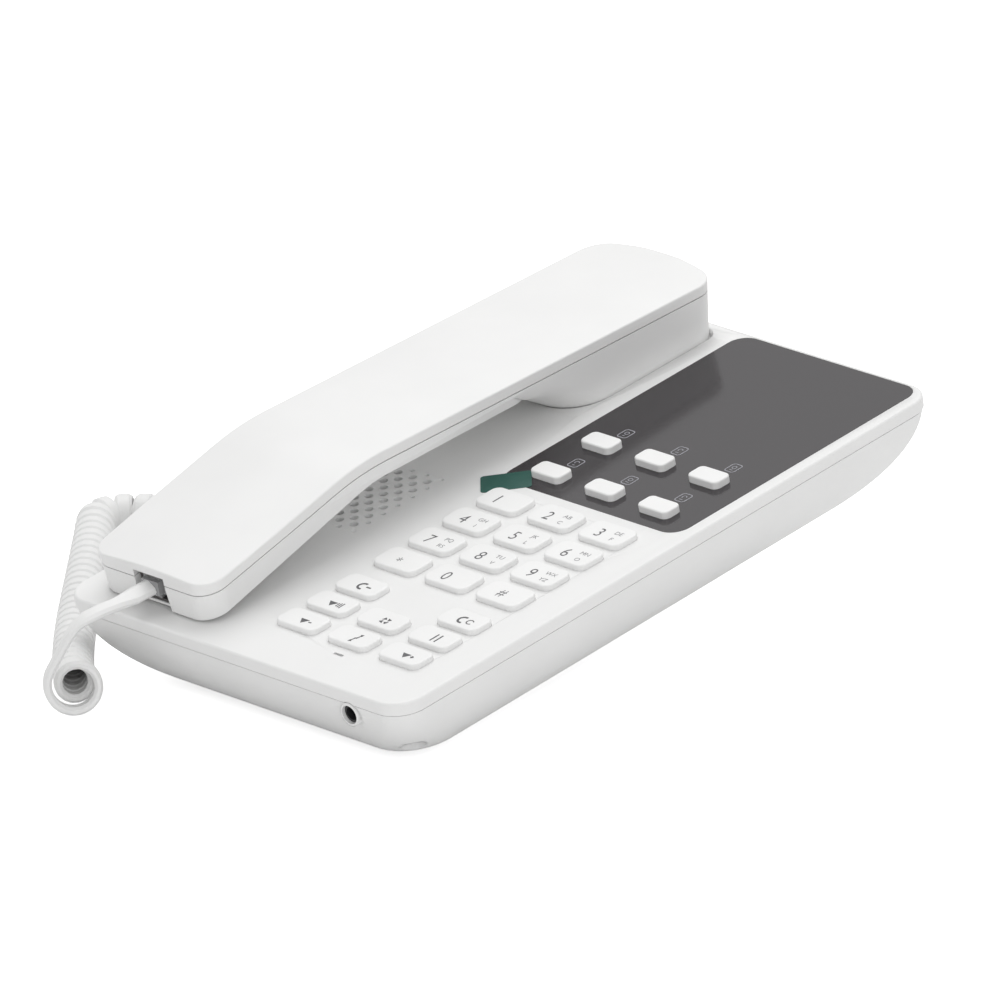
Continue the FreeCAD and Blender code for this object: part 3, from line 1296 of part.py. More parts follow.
base_exit = deck.multVec(Vector(base_plug_nose - size("plug_length") - plug_collar, socket_y,
                                socket_z + collar_centre))
base_near = base_exit - Vector(size("base_tail_exit"), 0, 0)
coil_near = coil_out + coil_ways[-1] * size("base_tail_entry")
sagging = (coil_near + base_near) * 0.5 - Vector(0, 2, size("base_tail_sag"))
base_tail_points = [coil_out, coil_near, sagging, base_near, base_exit]
pieces.append(keep("base_tail", cord_along(tail_edges(base_tail_points, "base_tail"), "base_tail"), room))

# Checks, then one STEP file for each piece

for entry in doc.Objects:
    for flag in ("Invalid", "Error"):
        if flag in entry.State:
            raise RuntimeError(f"{entry.Label}: {flag}")
doc.recompute()
os.makedirs("parts", exist_ok=True)
for piece in pieces:
    shape = piece.Shape
    if shape.isNull() or not shape.isValid() or shape.Volume <= 0:
        raise RuntimeError(f"{piece.Label} has no valid solid")
for piece in pieces:
    piece.Shape.exportStep(f"parts/{piece.Label}.step")
    print(piece.Label, len(piece.Shape.Solids), "solids", round(piece.Shape.Volume / 1000, 2), "cm3")
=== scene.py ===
import math

import bmesh
import bpy
from mathutils import Matrix, Vector


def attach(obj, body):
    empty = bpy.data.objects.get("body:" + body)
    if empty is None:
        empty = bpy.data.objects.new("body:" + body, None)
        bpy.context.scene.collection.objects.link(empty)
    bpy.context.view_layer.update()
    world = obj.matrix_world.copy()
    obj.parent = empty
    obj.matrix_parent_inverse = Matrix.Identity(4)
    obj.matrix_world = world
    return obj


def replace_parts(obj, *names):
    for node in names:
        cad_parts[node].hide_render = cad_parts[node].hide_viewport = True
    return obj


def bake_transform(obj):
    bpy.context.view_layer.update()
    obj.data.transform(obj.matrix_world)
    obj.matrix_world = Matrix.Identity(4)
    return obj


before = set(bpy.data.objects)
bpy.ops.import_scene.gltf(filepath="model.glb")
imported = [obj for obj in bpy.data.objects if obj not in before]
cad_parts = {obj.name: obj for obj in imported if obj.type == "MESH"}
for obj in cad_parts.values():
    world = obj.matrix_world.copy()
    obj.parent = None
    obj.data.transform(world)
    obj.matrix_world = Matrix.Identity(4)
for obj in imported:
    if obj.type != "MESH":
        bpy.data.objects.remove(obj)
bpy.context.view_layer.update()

# Upper housing: one moulding of white satin plastic, a flat deck with a short skirt all round.
# It is pierced by the key windows, the speaker grille and the microphone slot, and sunk for the
# handset's ear cup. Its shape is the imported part's, with its facets merged and smoothed.

# Lengths are millimetres, and DECK carries them from the deck's own plan to its place in metres.
MM = 0.001
DECK_TILT = math.radians(11.26)
DECK_LIFT = 41.8
DECK_SHIFT = -0.281
DECK = (
    Matrix.Translation((0, DECK_SHIFT * MM, DECK_LIFT * MM))
    @ Matrix.Rotation(DECK_TILT, 4, "X")
    @ Matrix.Scale(MM, 4)
)
ROOM = Matrix.Scale(MM, 4)
SMOOTH_BELOW = math.radians(32)
MERGE_WITHIN = 0.002 * MM
TINT_SCALE, TINT_DETAIL, TINT_SPAN, TINT_DARKER = 45, 3, (0.3, 0.7), 0.972
GLOSS_SWING = 0.05
PIT_DETAIL, PIT_STRENGTH = 2, 0.35


def moulded_plastic(name, colour, roughness, grain, grain_height):
    """A moulded plastic: nearly even colour, with a spark-eroded grain in its surface."""
    material = bpy.data.materials.new(name)
    material.use_nodes = True
    nodes, links = material.node_tree.nodes, material.node_tree.links
    shader = nodes["Principled BSDF"]
    place = nodes.new("ShaderNodeTexCoord")
    cloud = nodes.new("ShaderNodeTexNoise")
    cloud.inputs["Scale"].default_value = TINT_SCALE
    cloud.inputs["Detail"].default_value = TINT_DETAIL
    tint = nodes.new("ShaderNodeValToRGB")
    darker = [channel * TINT_DARKER for channel in colour]
    for element, position, shade in zip(tint.color_ramp.elements, TINT_SPAN, (darker, colour)):
        element.position = position
        element.color = (*shade, 1)
    pits = nodes.new("ShaderNodeTexNoise")
    pits.inputs["Scale"].default_value = grain
    pits.inputs["Detail"].default_value = PIT_DETAIL
    gloss = nodes.new("ShaderNodeMapRange")
    gloss.inputs["To Min"].default_value = roughness - GLOSS_SWING
    gloss.inputs["To Max"].default_value = roughness + GLOSS_SWING
    bump = nodes.new("ShaderNodeBump")
    bump.inputs["Strength"].default_value = PIT_STRENGTH
    bump.inputs["Distance"].default_value = grain_height
    links.new(place.outputs["Object"], cloud.inputs["Vector"])
    links.new(place.outputs["Object"], pits.inputs["Vector"])
    links.new(cloud.outputs["Fac"], tint.inputs["Fac"])
    links.new(tint.outputs["Color"], shader.inputs["Base Color"])
    links.new(pits.outputs["Fac"], gloss.inputs["Value"])
    links.new(gloss.outputs["Result"], shader.inputs["Roughness"])
    links.new(pits.outputs["Fac"], bump.inputs["Height"])
    links.new(bump.outputs["Normal"], shader.inputs["Normal"])
    return material


def smoothed_copy(name, node, material, body):
    """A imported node's own shape with its facets merged, smooth except at its real edges."""
    bm = bmesh.new()
    bm.from_mesh(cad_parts[node].data)
    bmesh.ops.remove_doubles(bm, verts=bm.verts, dist=MERGE_WITHIN)
    bmesh.ops.dissolve_degenerate(bm, edges=bm.edges, dist=MERGE_WITHIN / 2)
    piece = finished(name, bm, material, body, Matrix.Identity(4))
    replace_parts(piece, node)
    return piece


def finished(name, bm, material, body, place=DECK):
    """Turns a bmesh into a piece of the telephone, riding on one of its bodies when one is given."""
    bmesh.ops.transform(bm, matrix=place, verts=bm.verts)
    mesh = bpy.data.meshes.new(name)
    bm.to_mesh(mesh)
    bm.free()
    mesh.materials.append(material)
    mesh.shade_smooth()
    mesh.set_sharp_from_angle(angle=SMOOTH_BELOW)
    piece = bpy.data.objects.new(name, mesh)
    bpy.context.scene.collection.objects.link(piece)
    even = piece.modifiers.new("even_shading", "WEIGHTED_NORMAL")
    even.keep_sharp = True
    if body:
        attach(piece, body)
    return piece


SHELL_WHITE = (0.80, 0.80, 0.795)
shell_plastic = moulded_plastic("white_shell_plastic", SHELL_WHITE, 0.42, 2600, 0.02 * MM)
smoothed_copy("upper_housing_shell", "upper_housing", shell_plastic, "base")

# Lower housing: the boat-shaped half of the case, of the same white plastic. It closes against
# the upper half with a fine dark seam and stands on a hidden keel with four rubber feet.

smoothed_copy("lower_housing_shell", "lower_housing", shell_plastic, "base")


# Small parts that show through the case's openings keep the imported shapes: the headset and network
# sockets, screws, feet, board, speaker and microphones. Each gets the finish of its real material.


def painted(node, material):
    """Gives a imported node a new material."""
    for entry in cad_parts[node].material_slots:
        entry.material = material


black_plastic = moulded_plastic("black_plastic", (0.022, 0.022, 0.024), 0.38, 3000, 0.01 * MM)
speaker_black = moulded_plastic("speaker_black", (0.012, 0.012, 0.013), 0.7, 1800, 0.03 * MM)
foot_rubber = moulded_plastic("foot_rubber", (0.19, 0.19, 0.20), 0.75, 1500, 0.03 * MM)
board_lacquer = moulded_plastic("board_lacquer", (0.03, 0.17, 0.07), 0.35, 900, 0.01 * MM)
zinc_steel = moulded_plastic("zinc_plated_steel", (0.55, 0.55, 0.57), 0.3, 1200, 0.01 * MM)
zinc_steel.node_tree.nodes["Principled BSDF"].inputs["Metallic"].default_value = 1.0
for node in ("headset_jack", "network_socket", "hook_switch", "handset_microphone", "hook_plunger"):
    painted(node, black_plastic)
for node in ("loudspeaker", "earpiece", "base_microphone"):
    painted(node, speaker_black)
for node in ("rubber_feet", "keypad_mat"):
    painted(node, foot_rubber)
for node in ("board_screws", "housing_screws", "handset_screws", "handset_weight"):
    painted(node, zinc_steel)
painted("main_board", board_lacquer)

# Cord plugs and sockets: four-way modular plugs moulded in clear polycarbonate, pushed into dark
# plastic sockets that are fixed in the handset's mouth end and in the base's left wall.

CLEARNESS = 0.55
clear_plastic = moulded_plastic("clear_polycarbonate", (0.62, 0.62, 0.63), 0.16, 700, 0.004 * MM)
clear_shader = clear_plastic.node_tree.nodes["Principled BSDF"]
clear_shader.inputs["Transmission Weight"].default_value = CLEARNESS
socket_plastic = moulded_plastic("dark_socket_plastic", (0.06, 0.055, 0.055), 0.4, 2000, 0.01 * MM)
for node in ("handset_plug", "base_plug"):
    painted(node, clear_plastic)
for node in ("handset_socket", "cord_socket"):
    painted(node, socket_plastic)

# Faceplate: a flat plate of glossy charcoal plastic round the memory keys, let into the deck
# flush with it and still under its protective film.

panel_gloss = moulded_plastic("charcoal_panel", (0.031, 0.027, 0.030), 0.12, 3200, 0.002 * MM)
painted("faceplate", panel_gloss)

# Keys: caps of white plastic with rounded edges, moulded with the stems that press the mat below.
# Each fills its window but for a hairline; the number and function keys stand 1.5 mm proud of the
# deck, the memory keys 2 mm.

KEY_FIT = 0.16
key_plastic = moulded_plastic("white_key_plastic", (0.83, 0.83, 0.825), 0.4, 3000, 0.01 * MM)


def key_cap(node, middle, size):
    """A packed key's own shape, eased outwards to a hairline from its window."""
    bm = bmesh.new()
    bm.from_mesh(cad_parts[node].data)
    bmesh.ops.remove_doubles(bm, verts=bm.verts, dist=MERGE_WITHIN)
    bmesh.ops.transform(bm, matrix=DECK.inverted(), verts=bm.verts)
    spread = (1 + 2 * KEY_FIT / size[0], 1 + 2 * KEY_FIT / size[1], 1)
    about = Matrix.Translation((-middle[0], -middle[1], 0))
    bmesh.ops.scale(bm, vec=spread, space=about, verts=bm.verts)
    cap = finished(f"{node}_cap", bm, key_plastic, f"{node}_body")
    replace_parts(cap, node)


def key_middle(first, step, column, row):
    """The middle of a key in a grid of keys, in the deck's own plan."""
    return first + Vector((column * step[0], row * step[1]))


NUMBER_KEY, NUMBER_STEP, NUMBER_CAP = Vector((6.4, -40.8)), (18.0, 12.136), (14.2, 8.9)
NUMBER_PROUD = 1.5
number_rows = (("star", "0", "hash"), ("7", "8", "9"), ("4", "5", "6"), ("1", "2", "3"))
number_middle = {}
for row, labels in enumerate(number_rows):
    for column, label in enumerate(labels):
        number_middle[label] = key_middle(NUMBER_KEY, NUMBER_STEP, column, row)
        key_cap(f"key_{label}", number_middle[label], NUMBER_CAP)

FUNCTION_KEY, FUNCTION_STEP, FUNCTION_CAP = Vector((6.84, -76.19)), (17.97, 10.24), (13.5, 7.5)
FUNCTION_PROUD = 1.5
function_rows = (
    ("volume_down", "flash", "volume_up"),
    ("loudspeaker", "mute", "hold"),
    ("answer", None, "redial"),
)
function_middle = {}
for row, labels in enumerate(function_rows):
    for column, label in enumerate(labels):
        if label:
            function_middle[label] = key_middle(FUNCTION_KEY, FUNCTION_STEP, column, row)
            key_cap(f"{label}_key", function_middle[label], FUNCTION_CAP)

MEMORY_KEY, MEMORY_STEP, MEMORY_CAP = Vector((5.74, 12.88)), (18.91, 18.17), (10.0, 5.7)
memory_middle = []
for row in range(2):
    for column in range(3):
        memory_middle.append(key_middle(MEMORY_KEY, MEMORY_STEP, column, row))
        key_cap(f"memory_key_{len(memory_middle)}", memory_middle[-1], MEMORY_CAP)

# Key prints: thin dark grey ink on the tops. Each number stands left of its letters, and each
# function key has a plain sign: handset, loudspeaker, volume, microphone off, flash and hold.

INK_THICK = 0.04
INK_LIFT = 0.01
DIGIT_SIZE, DIGIT_THIN, DIGIT_STRETCH = 5.6, -0.055, 0.86
DIGIT_SHIFT = Vector((-1.75, -0.75))
SYMBOL_SIZE, SYMBOL_SHIFT = DIGIT_SIZE * 0.85, Vector((-0.6, -0.5))
LETTER_SIZE, LETTER_THIN = 2.1, -0.03
LETTER_SHIFTS = (Vector((3.3, 1.0)), Vector((3.4, -2.1)))
SIGN_SHIFT = Vector((1.3, -0.65))
ink_grey = moulded_plastic("dark_grey_ink", (0.075, 0.075, 0.08), 0.5, 2500, 0.002 * MM)
letter_grey = moulded_plastic("mid_grey_ink", (0.20, 0.20, 0.21), 0.5, 2500, 0.002 * MM)
key_letters = {
    "2": ("AB", "C"), "3": ("DE", "F"),
    "4": ("GH", "I"), "5": ("JK", "L"), "6": ("MN", "O"),
    "7": ("PQ", "RS"), "8": ("TU", "V"), "9": ("WX", "YZ"),
}


def lettering(words, size, thin, stretch=1.0):
    """Words as a closed, nearly flat solid centred on the origin."""
    line = bpy.data.curves.new(words, "FONT")
    line.body = words
    line.align_x, line.align_y = "CENTER", "CENTER"
    line.size = size
    line.offset = thin
    line.extrude = INK_THICK / 2
    line.resolution_u = 4
    holder = bpy.data.objects.new(words, line)
    mesh = bpy.data.meshes.new_from_object(holder)
    bm = bmesh.new()
    bm.from_mesh(mesh)
    bpy.data.objects.remove(holder)
    bpy.data.curves.remove(line)
    bpy.data.meshes.remove(mesh)
    bmesh.ops.remove_doubles(bm, verts=bm.verts, dist=0.001)
    low = Vector([min(vertex.co[axis] for vertex in bm.verts) for axis in range(3)])
    high = Vector([max(vertex.co[axis] for vertex in bm.verts) for axis in range(3)])
    bmesh.ops.translate(bm, vec=-(low + high) / 2, verts=bm.verts)
    bmesh.ops.scale(bm, vec=(stretch, 1, 1), verts=bm.verts)
    return bm


def place_print(name, bm, middle, height, body, ink):
    """Lays a print on a key's or plate's top face."""
    up = height + INK_LIFT + INK_THICK / 2
    bmesh.ops.translate(bm, vec=(middle[0], middle[1], up), verts=bm.verts)
    finished(name, bm, ink, body)


for label, middle in number_middle.items():
    sign = {"star": "*", "hash": "#"}.get(label, label)
    size, shift = (DIGIT_SIZE, DIGIT_SHIFT) if sign.isdigit() else (SYMBOL_SIZE, SYMBOL_SHIFT)
    body = f"key_{label}_body"
    printed = lettering(sign, size, DIGIT_THIN, DIGIT_STRETCH)
    place_print(f"print_{label}", printed, middle + shift, NUMBER_PROUD, body, ink_grey)
    for words, shift in zip(key_letters.get(label, ()), LETTER_SHIFTS):
        printed = lettering(words, LETTER_SIZE, LETTER_THIN)
        place_print(f"print_{label}_{words}", printed, middle + shift, NUMBER_PROUD, body, letter_grey)


def spot_on_print(across, along, turn):
    """A place on a print and a turn about it, in degrees."""
    return Matrix.Translation((across, along, 0)) @ Matrix.Rotation(math.radians(turn), 4, "Z")


def bar(bm, across, along, width, length, turn=0):
    """A flat inked bar."""
    at = spot_on_print(across, along, turn)
    bmesh.ops.create_cube(bm, size=1, matrix=at @ Matrix.Diagonal((width, length, INK_THICK, 1)))


def wedge(bm, across, along, radius, turn, squeeze=1.0):
    """A flat inked triangle that points along its turn."""
    at = spot_on_print(across, along, turn) @ Matrix.Diagonal((squeeze, 1, 1, 1))
    bmesh.ops.create_cone(bm, cap_ends=True, segments=3, radius1=radius, radius2=radius,
                          depth=INK_THICK, matrix=at)


ARC_STEPS = 14


def arc(bm, across, along, radius, stroke, begin, sweep):
    """A flat inked arc, the section of a bar spun about its centre."""
    middle = Vector((across, along, 0))
    outwards = Vector((math.cos(math.radians(begin)), math.sin(math.radians(begin)), 0))
    at = Matrix.Translation(middle + outwards * radius) @ Matrix.Rotation(math.radians(begin), 4, "Z")
    upright = Matrix.Diagonal((stroke, 1, INK_THICK, 1)) @ Matrix.Rotation(math.pi / 2, 4, "X")
    start = bmesh.ops.create_grid(bm, x_segments=1, y_segments=1, size=0.5, matrix=at @ upright)
    faces = start["verts"][0].link_faces[:]
    bmesh.ops.spin(bm, geom=faces, cent=middle, axis=(0, 0, 1), angle=math.radians(sweep),
                   steps=ARC_STEPS, use_duplicate=False)


# The signs are drawn in millimetres from their own middle, and their turns are degrees.

def handset_arc(bm, across):
    """A small handset, drawn as a thick open arc."""
    arc(bm, across, 0, 1.35, 0.62, 70, 220)


def horn(bm, across):
    """A small loudspeaker, drawn as a wedge that points left."""
    wedge(bm, across, 0, 1.35, 180, 1.2)


def sign_answer(bm):
    """A handset with a bar beside it."""
    handset_arc(bm, -0.3)
    bar(bm, 1.6, 0.15, 1.5, 0.5)


def sign_redial(bm):
    """A handset with an open ring beside it."""
    handset_arc(bm, -0.9)
    arc(bm, 1.5, 0, 0.95, 0.3, 30, 290)


def sign_loudspeaker(bm):
    """A horn with three widening waves."""
    horn(bm, -0.7)
    for step in range(3):
        bar(bm, 1.1 + 0.7 * step, 0, 0.3, 1.7 + 0.35 * step)


def sign_volume_down(bm):
    """A horn with a minus."""
    horn(bm, -0.5)
    bar(bm, 1.7, -0.1, 1.0, 0.36)


def sign_volume_up(bm):
    """A horn with a plus."""
    sign_volume_down(bm)
    bar(bm, 1.7, -0.1, 0.36, 1.0)


def sign_mute(bm):
    """Four wedges that point away from one middle."""
    reach = 1.05
    for turn in (45, 135, 225, 315):
        across, along = reach * math.cos(math.radians(turn)), reach * math.sin(math.radians(turn))
        wedge(bm, across, along, 0.85, turn, 0.8)


def sign_flash(bm):
    """A bolt with a head at each end."""
    bar(bm, -0.35, -0.75, 0.34, 1.9, -14)
    bar(bm, 0.35, 0.75, 0.34, 1.9, -14)
    bar(bm, 0, 0.05, 1.1, 0.34, 30)
    wedge(bm, -0.55, -1.6, 0.62, 255)
    wedge(bm, 0.55, 1.6, 0.62, 75)


def sign_hold(bm):
    """Two upright bars."""
    for way in (-1, 1):
        bar(bm, 0.72 * way, 0, 0.42, 3.4)


signs = {
    "answer": sign_answer,
    "redial": sign_redial,
    "loudspeaker": sign_loudspeaker,
    "volume_down": sign_volume_down,
    "volume_up": sign_volume_up,
    "mute": sign_mute,
    "flash": sign_flash,
    "hold": sign_hold,
}
for label, draw in signs.items():
    bm = bmesh.new()
    draw(bm)
    bmesh.ops.recalc_face_normals(bm, faces=bm.faces)
    middle = function_middle[label] + SIGN_SHIFT
    place_print(f"sign_{label}", bm, middle, FUNCTION_PROUD, f"{label}_key_body", ink_grey)

# Memory labels: a rounded outline with a small generic mark in it, printed in silver grey on the
# faceplate just behind each memory key.

LABEL_SHIFT = Vector((0.62, 8.14))
LABEL_LINE, LABEL_SIDE, LABEL_TOP, LABEL_CORNER = 0.3, 2.9, 2.1, 0.78
SIDE_FROM_MIDDLE, TOP_FROM_MIDDLE, CORNER_FROM_MIDDLE = 1.55, 2.0, (1.3, 1.74)
FACEPLATE_TOP = 0.0
silver_ink = moulded_plastic("silver_grey_ink", (0.27, 0.27, 0.30), 0.4, 2500, 0.002 * MM)
for number, middle in enumerate(memory_middle):
    bm = bmesh.new()
    for way in (-1, 1):
        bar(bm, SIDE_FROM_MIDDLE * way, 0, LABEL_LINE, LABEL_SIDE)
        bar(bm, 0, TOP_FROM_MIDDLE * way, LABEL_TOP, LABEL_LINE)
        for side in (-1, 1):
            across, along = CORNER_FROM_MIDDLE[0] * side, CORNER_FROM_MIDDLE[1] * way
            bar(bm, across, along, LABEL_LINE, LABEL_CORNER, 45 * way * side)
    arc(bm, 0, 0.35, 0.62, 0.24, 0, 360 if number % 2 else 240)
    bar(bm, 0, -1.0, 1.1 if number % 3 else 0.7, 0.26)
    bmesh.ops.recalc_face_normals(bm, faces=bm.faces)
    name = f"memory_label_{number + 1}"
    place_print(name, bm, middle + LABEL_SHIFT, FACEPLATE_TOP, "base", silver_ink)

# Pull tab of the protective film: a green tongue at the faceplate's edge, by which the film is
# peeled off when the telephone is first used.

tab_film = moulded_plastic("green_film", (0.012, 0.085, 0.066), 0.35, 1500, 0.004 * MM)
painted("film_pull_tab", tab_film)

# Handset: two mouldings of the shell plastic, a crowned back and a belly with the ear cup, closed
# against each other with a fine dark seam. The cup's front corners are drawn in to round ones.

smoothed_copy("handset_back_shell", "handset_outer_shell", shell_plastic, "handset")

CUP_MIDDLE, CUP_HALF_WIDTH = -33.0, 20.6
CUP_FRONT, CUP_BOTTOM, CUP_SLOPE = 42.6, -1.7, 1.4
CUP_CORNER = 11.5
CUP_FADE_FROM, CUP_FADE_TO = 6.0, 12.5
CUP_BEGIN, CUP_END = 20, 60
CUP_CUTS = 9
CUP_LEVELS = [1.5 * step for step in range(9)]
FLAT_WITHIN = math.radians(1.0)
CUT_WITHIN = 0.0001


def cup_half_width(along, height):
    """Half the ear cup's width behind its sloping front, whose corners are round in plan."""
    behind = along - (CUP_FRONT - (height - CUP_BOTTOM) * CUP_SLOPE)
    if behind >= CUP_CORNER:
        return CUP_HALF_WIDTH
    missing = CUP_CORNER - max(behind, 0.0)
    return CUP_HALF_WIDTH - CUP_CORNER + math.sqrt(CUP_CORNER ** 2 - missing ** 2)


def with_edges(faces):
    """Faces, their edges and their corners, always in the same order."""
    edges = dict.fromkeys(edge for face in faces for edge in face.edges)
    corners = dict.fromkeys(corner for face in faces for corner in face.verts)
    return [*faces, *edges, *corners]


def handset_belly():
    """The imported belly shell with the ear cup's front corners drawn in to their real rounding."""
    bm = bmesh.new()
    bm.from_mesh(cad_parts["handset_inner_shell"].data)
    bmesh.ops.transform(bm, matrix=DECK.inverted(), verts=bm.verts)
    bmesh.ops.remove_doubles(bm, verts=bm.verts, dist=MERGE_WITHIN / MM)
    bmesh.ops.dissolve_limit(bm, angle_limit=FLAT_WITHIN, verts=bm.verts, edges=bm.edges)
    across_slope = Vector((0, 1, CUP_SLOPE))
    for step in range(CUP_CUTS + 1):
        share = (step / CUP_CUTS) ** 2
        start = Vector((CUP_MIDDLE, CUP_FRONT + CUP_CORNER * share, CUP_BOTTOM))
        bmesh.ops.bisect_plane(bm, geom=bm.verts[:] + bm.edges[:] + bm.faces[:], plane_co=start,
                               plane_no=across_slope, dist=CUT_WITHIN)
    for height in CUP_LEVELS:
        near = [face for face in bm.faces if CUP_BEGIN < face.calc_center_median().y < CUP_END]
        bmesh.ops.bisect_plane(bm, geom=with_edges(near), plane_co=(0, 0, height),
                               plane_no=(0, 0, 1), dist=CUT_WITHIN)
    for vertex in bm.verts:
        across, along, height = vertex.co.x - CUP_MIDDLE, vertex.co.y, vertex.co.z
        if height > CUP_FADE_TO or not CUP_BEGIN < along < CUP_FRONT + CUP_CORNER + 1:
            continue
        fade = min(1.0, (CUP_FADE_TO - height) / (CUP_FADE_TO - CUP_FADE_FROM))
        wanted = cup_half_width(along, height) / CUP_HALF_WIDTH
        vertex.co.x = CUP_MIDDLE + across * (1 + (wanted - 1) * fade)
    return finished("handset_belly_shell", bm, shell_plastic, "handset")


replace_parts(handset_belly(), "handset_inner_shell")

# Recess corners: the deck closes round the ear cup's rounded front corners, part of the same white
# moulding as the upper housing and flush with it.

RECESS_FRONT, RECESS_HALF_WIDTH = 39.2, 21.02
CUP_CLEARANCE = 0.3
WEB_CORNER = CUP_CORNER + CUP_CLEARANCE
WEB_THICK = 1.6
WEB_STEPS = 14
cup_corner_y = CUP_FRONT + CUP_BOTTOM * CUP_SLOPE + CUP_CORNER
for way, side in ((-1, "left"), (1, "right")):
    bm = bmesh.new()
    centre = Vector((CUP_MIDDLE + way * (CUP_HALF_WIDTH - CUP_CORNER), cup_corner_y, 0))
    start = bm.verts.new(centre + Vector((way * WEB_CORNER, 0, 0)))
    turned = bmesh.ops.spin(bm, geom=[start], cent=centre, axis=(0, 0, -way), angle=math.pi / 2,
                            steps=WEB_STEPS, use_duplicate=False)
    last = next(item for item in turned["geom_last"] if isinstance(item, bmesh.types.BMVert))
    wall_x = CUP_MIDDLE + way * RECESS_HALF_WIDTH
    square_side = ((CUP_MIDDLE, centre.y - WEB_CORNER), (CUP_MIDDLE, RECESS_FRONT),
                   (wall_x, RECESS_FRONT), (wall_x, centre.y))
    outline = [last, *[bm.verts.new((*corner, 0)) for corner in square_side], start]
    for before, after in zip(outline, outline[1:]):
        bm.edges.new((before, after))
    bmesh.ops.contextual_create(bm, geom=bm.edges[:])
    grown = bmesh.ops.extrude_face_region(bm, geom=bm.faces[:], use_keep_orig=True)["geom"]
    fresh = [item for item in grown if isinstance(item, bmesh.types.BMVert)]
    bmesh.ops.translate(bm, vec=(0, 0, -WEB_THICK), verts=fresh)
    bmesh.ops.recalc_face_normals(bm, faces=bm.faces)
    finished(f"recess_corner_{side}", bm, shell_plastic, "base")

# Curly cord: a flat white vinyl cord 4.4 by 2.3 mm, wound when made into 32 curls. It leaves the
# handset's plug, widens into its first curl on the desk, lies under the base's front left corner,
# turns sharply behind it and ends in the plug in the base's left wall.

CORD_WIDTH, CORD_THICKNESS = 4.4, 2.3
COIL_RADIUS, FLARE, FLARE_TURNS = 4.25, 3.9, 1.5
COIL_PITCH, BEND_PITCH, COIL_TURNS = 4.8, 5.5, 32.5
BEND_FULL, BEND_FADE = 10, 10
ENTRY_ANGLE = 135
POINTS_PER_TURN = 16
AXIS_RESOLUTION, CORD_RESOLUTION = 40, 3
COIL_TOUCH = 3
HANDSET_PLUG_LEAD, HANDSET_COIL_LEAD = 9.5, 13
BASE_PLUG_LEAD, BASE_COIL_LEAD, BASE_TAIL_SAG = 13, 17, Vector((0, 2, 3.2))
SECTION_SIDES, SECTION_SQUARE = 10, 0.16
handset_plug_exit = Vector((-33.0, -89.65, 30.28))
base_plug_exit = Vector((-58.5, 21.12, 36.73))
coil_axis_corners = (
    (-34.6, -113.2, 9.6), (-55.5, -97.2, 5.9), (-122.0, -26.0, 5.9),
    (-135.5, -12.3, 5.9), (-121.0, 1.5, 5.9), (-80.0, 42.4, 5.9),
)
coil_axis_route = [Vector(corner) for corner in coil_axis_corners]
coil_bend = coil_axis_route[3]
deck_turn = DECK.to_3x3().normalized()


def route_points(name, points, resolution):
    """The points of the smooth spline that a route's corners give, as a curve makes them."""
    line = bpy.data.curves.new(name, "CURVE")
    line.dimensions = "3D"
    spline = line.splines.new("NURBS")
    spline.points.add(len(points) - 1)
    for entry, point in zip(spline.points, points):
        entry.co = (*point, 1)
    spline.order_u = 3
    spline.use_endpoint_u = True
    spline.resolution_u = resolution
    holder = bpy.data.objects.new(name, line)
    mesh = bpy.data.meshes.new_from_object(holder)
    found = [vertex.co.copy() for vertex in mesh.vertices]
    bpy.data.objects.remove(holder)
    bpy.data.curves.remove(line)
    bpy.data.meshes.remove(mesh)
    return found


axis_points = route_points("coil_axis", coil_axis_route, AXIS_RESOLUTION)
axis_reach = [0.0]
for before, after in zip(axis_points, axis_points[1:]):
    axis_reach.append(axis_reach[-1] + (after - before).length)


def axis_at(distance):
    """The coil's axis and its direction at a distance along it."""
    number = max(i for i, reach in enumerate(axis_reach[:-1]) if reach <= distance)
    before, after = axis_points[number], axis_points[number + 1]
    share = (distance - axis_reach[number]) / (axis_reach[number + 1] - axis_reach[number])
    return before.lerp(after, share), (after - before).normalized()


def nearest_of(points, place):
    """The number of the point that is nearest to a place."""
    return min(range(len(points)), key=lambda number: (points[number] - place).length)


bend_reach = axis_reach[nearest_of(axis_points, coil_bend)]
helix, radials = [], []
distance = 0.0
for step in range(int(COIL_TURNS * POINTS_PER_TURN) + 1):
    turns = step / POINTS_PER_TURN
    middle, ahead = axis_at(distance)
    sideways = Vector((ahead.y, -ahead.x, 0)).normalized()
    upwards = sideways.cross(ahead)
    radius = COIL_RADIUS + FLARE * max(0.0, 1 - turns / FLARE_TURNS) ** 2
    angle = math.radians(ENTRY_ANGLE + 360 * turns)
    radial = sideways * math.cos(angle) + upwards * math.sin(angle)
    helix.append(middle + radial * radius)
    radials.append(radial)
    near_bend = max(0.0, 1 - max(0.0, abs(distance - bend_reach) - BEND_FULL) / BEND_FADE)
    distance += (COIL_PITCH + (BEND_PITCH - COIL_PITCH) * near_bend) / POINTS_PER_TURN

coil_in = (helix[0] - helix[1]).normalized()
coil_out = (helix[-1] - helix[-2]).normalized()
handset_tail = [
    handset_plug_exit,
    handset_plug_exit + deck_turn @ Vector((0, -1, 0)) * HANDSET_PLUG_LEAD,
    helix[0] + coil_in * HANDSET_COIL_LEAD,
    helix[0] + coil_in * COIL_TOUCH,
]
coil_side = helix[-1] + coil_out * BASE_COIL_LEAD
base_side = base_plug_exit - Vector((BASE_PLUG_LEAD, 0, 0))
base_tail = [
    helix[-1] + coil_out * COIL_TOUCH,
    coil_side,
    (coil_side + base_side) / 2 - BASE_TAIL_SAG,
    base_side,
    base_plug_exit,
]
cord_line = route_points("cord_line", handset_tail + helix + base_tail, CORD_RESOLUTION)


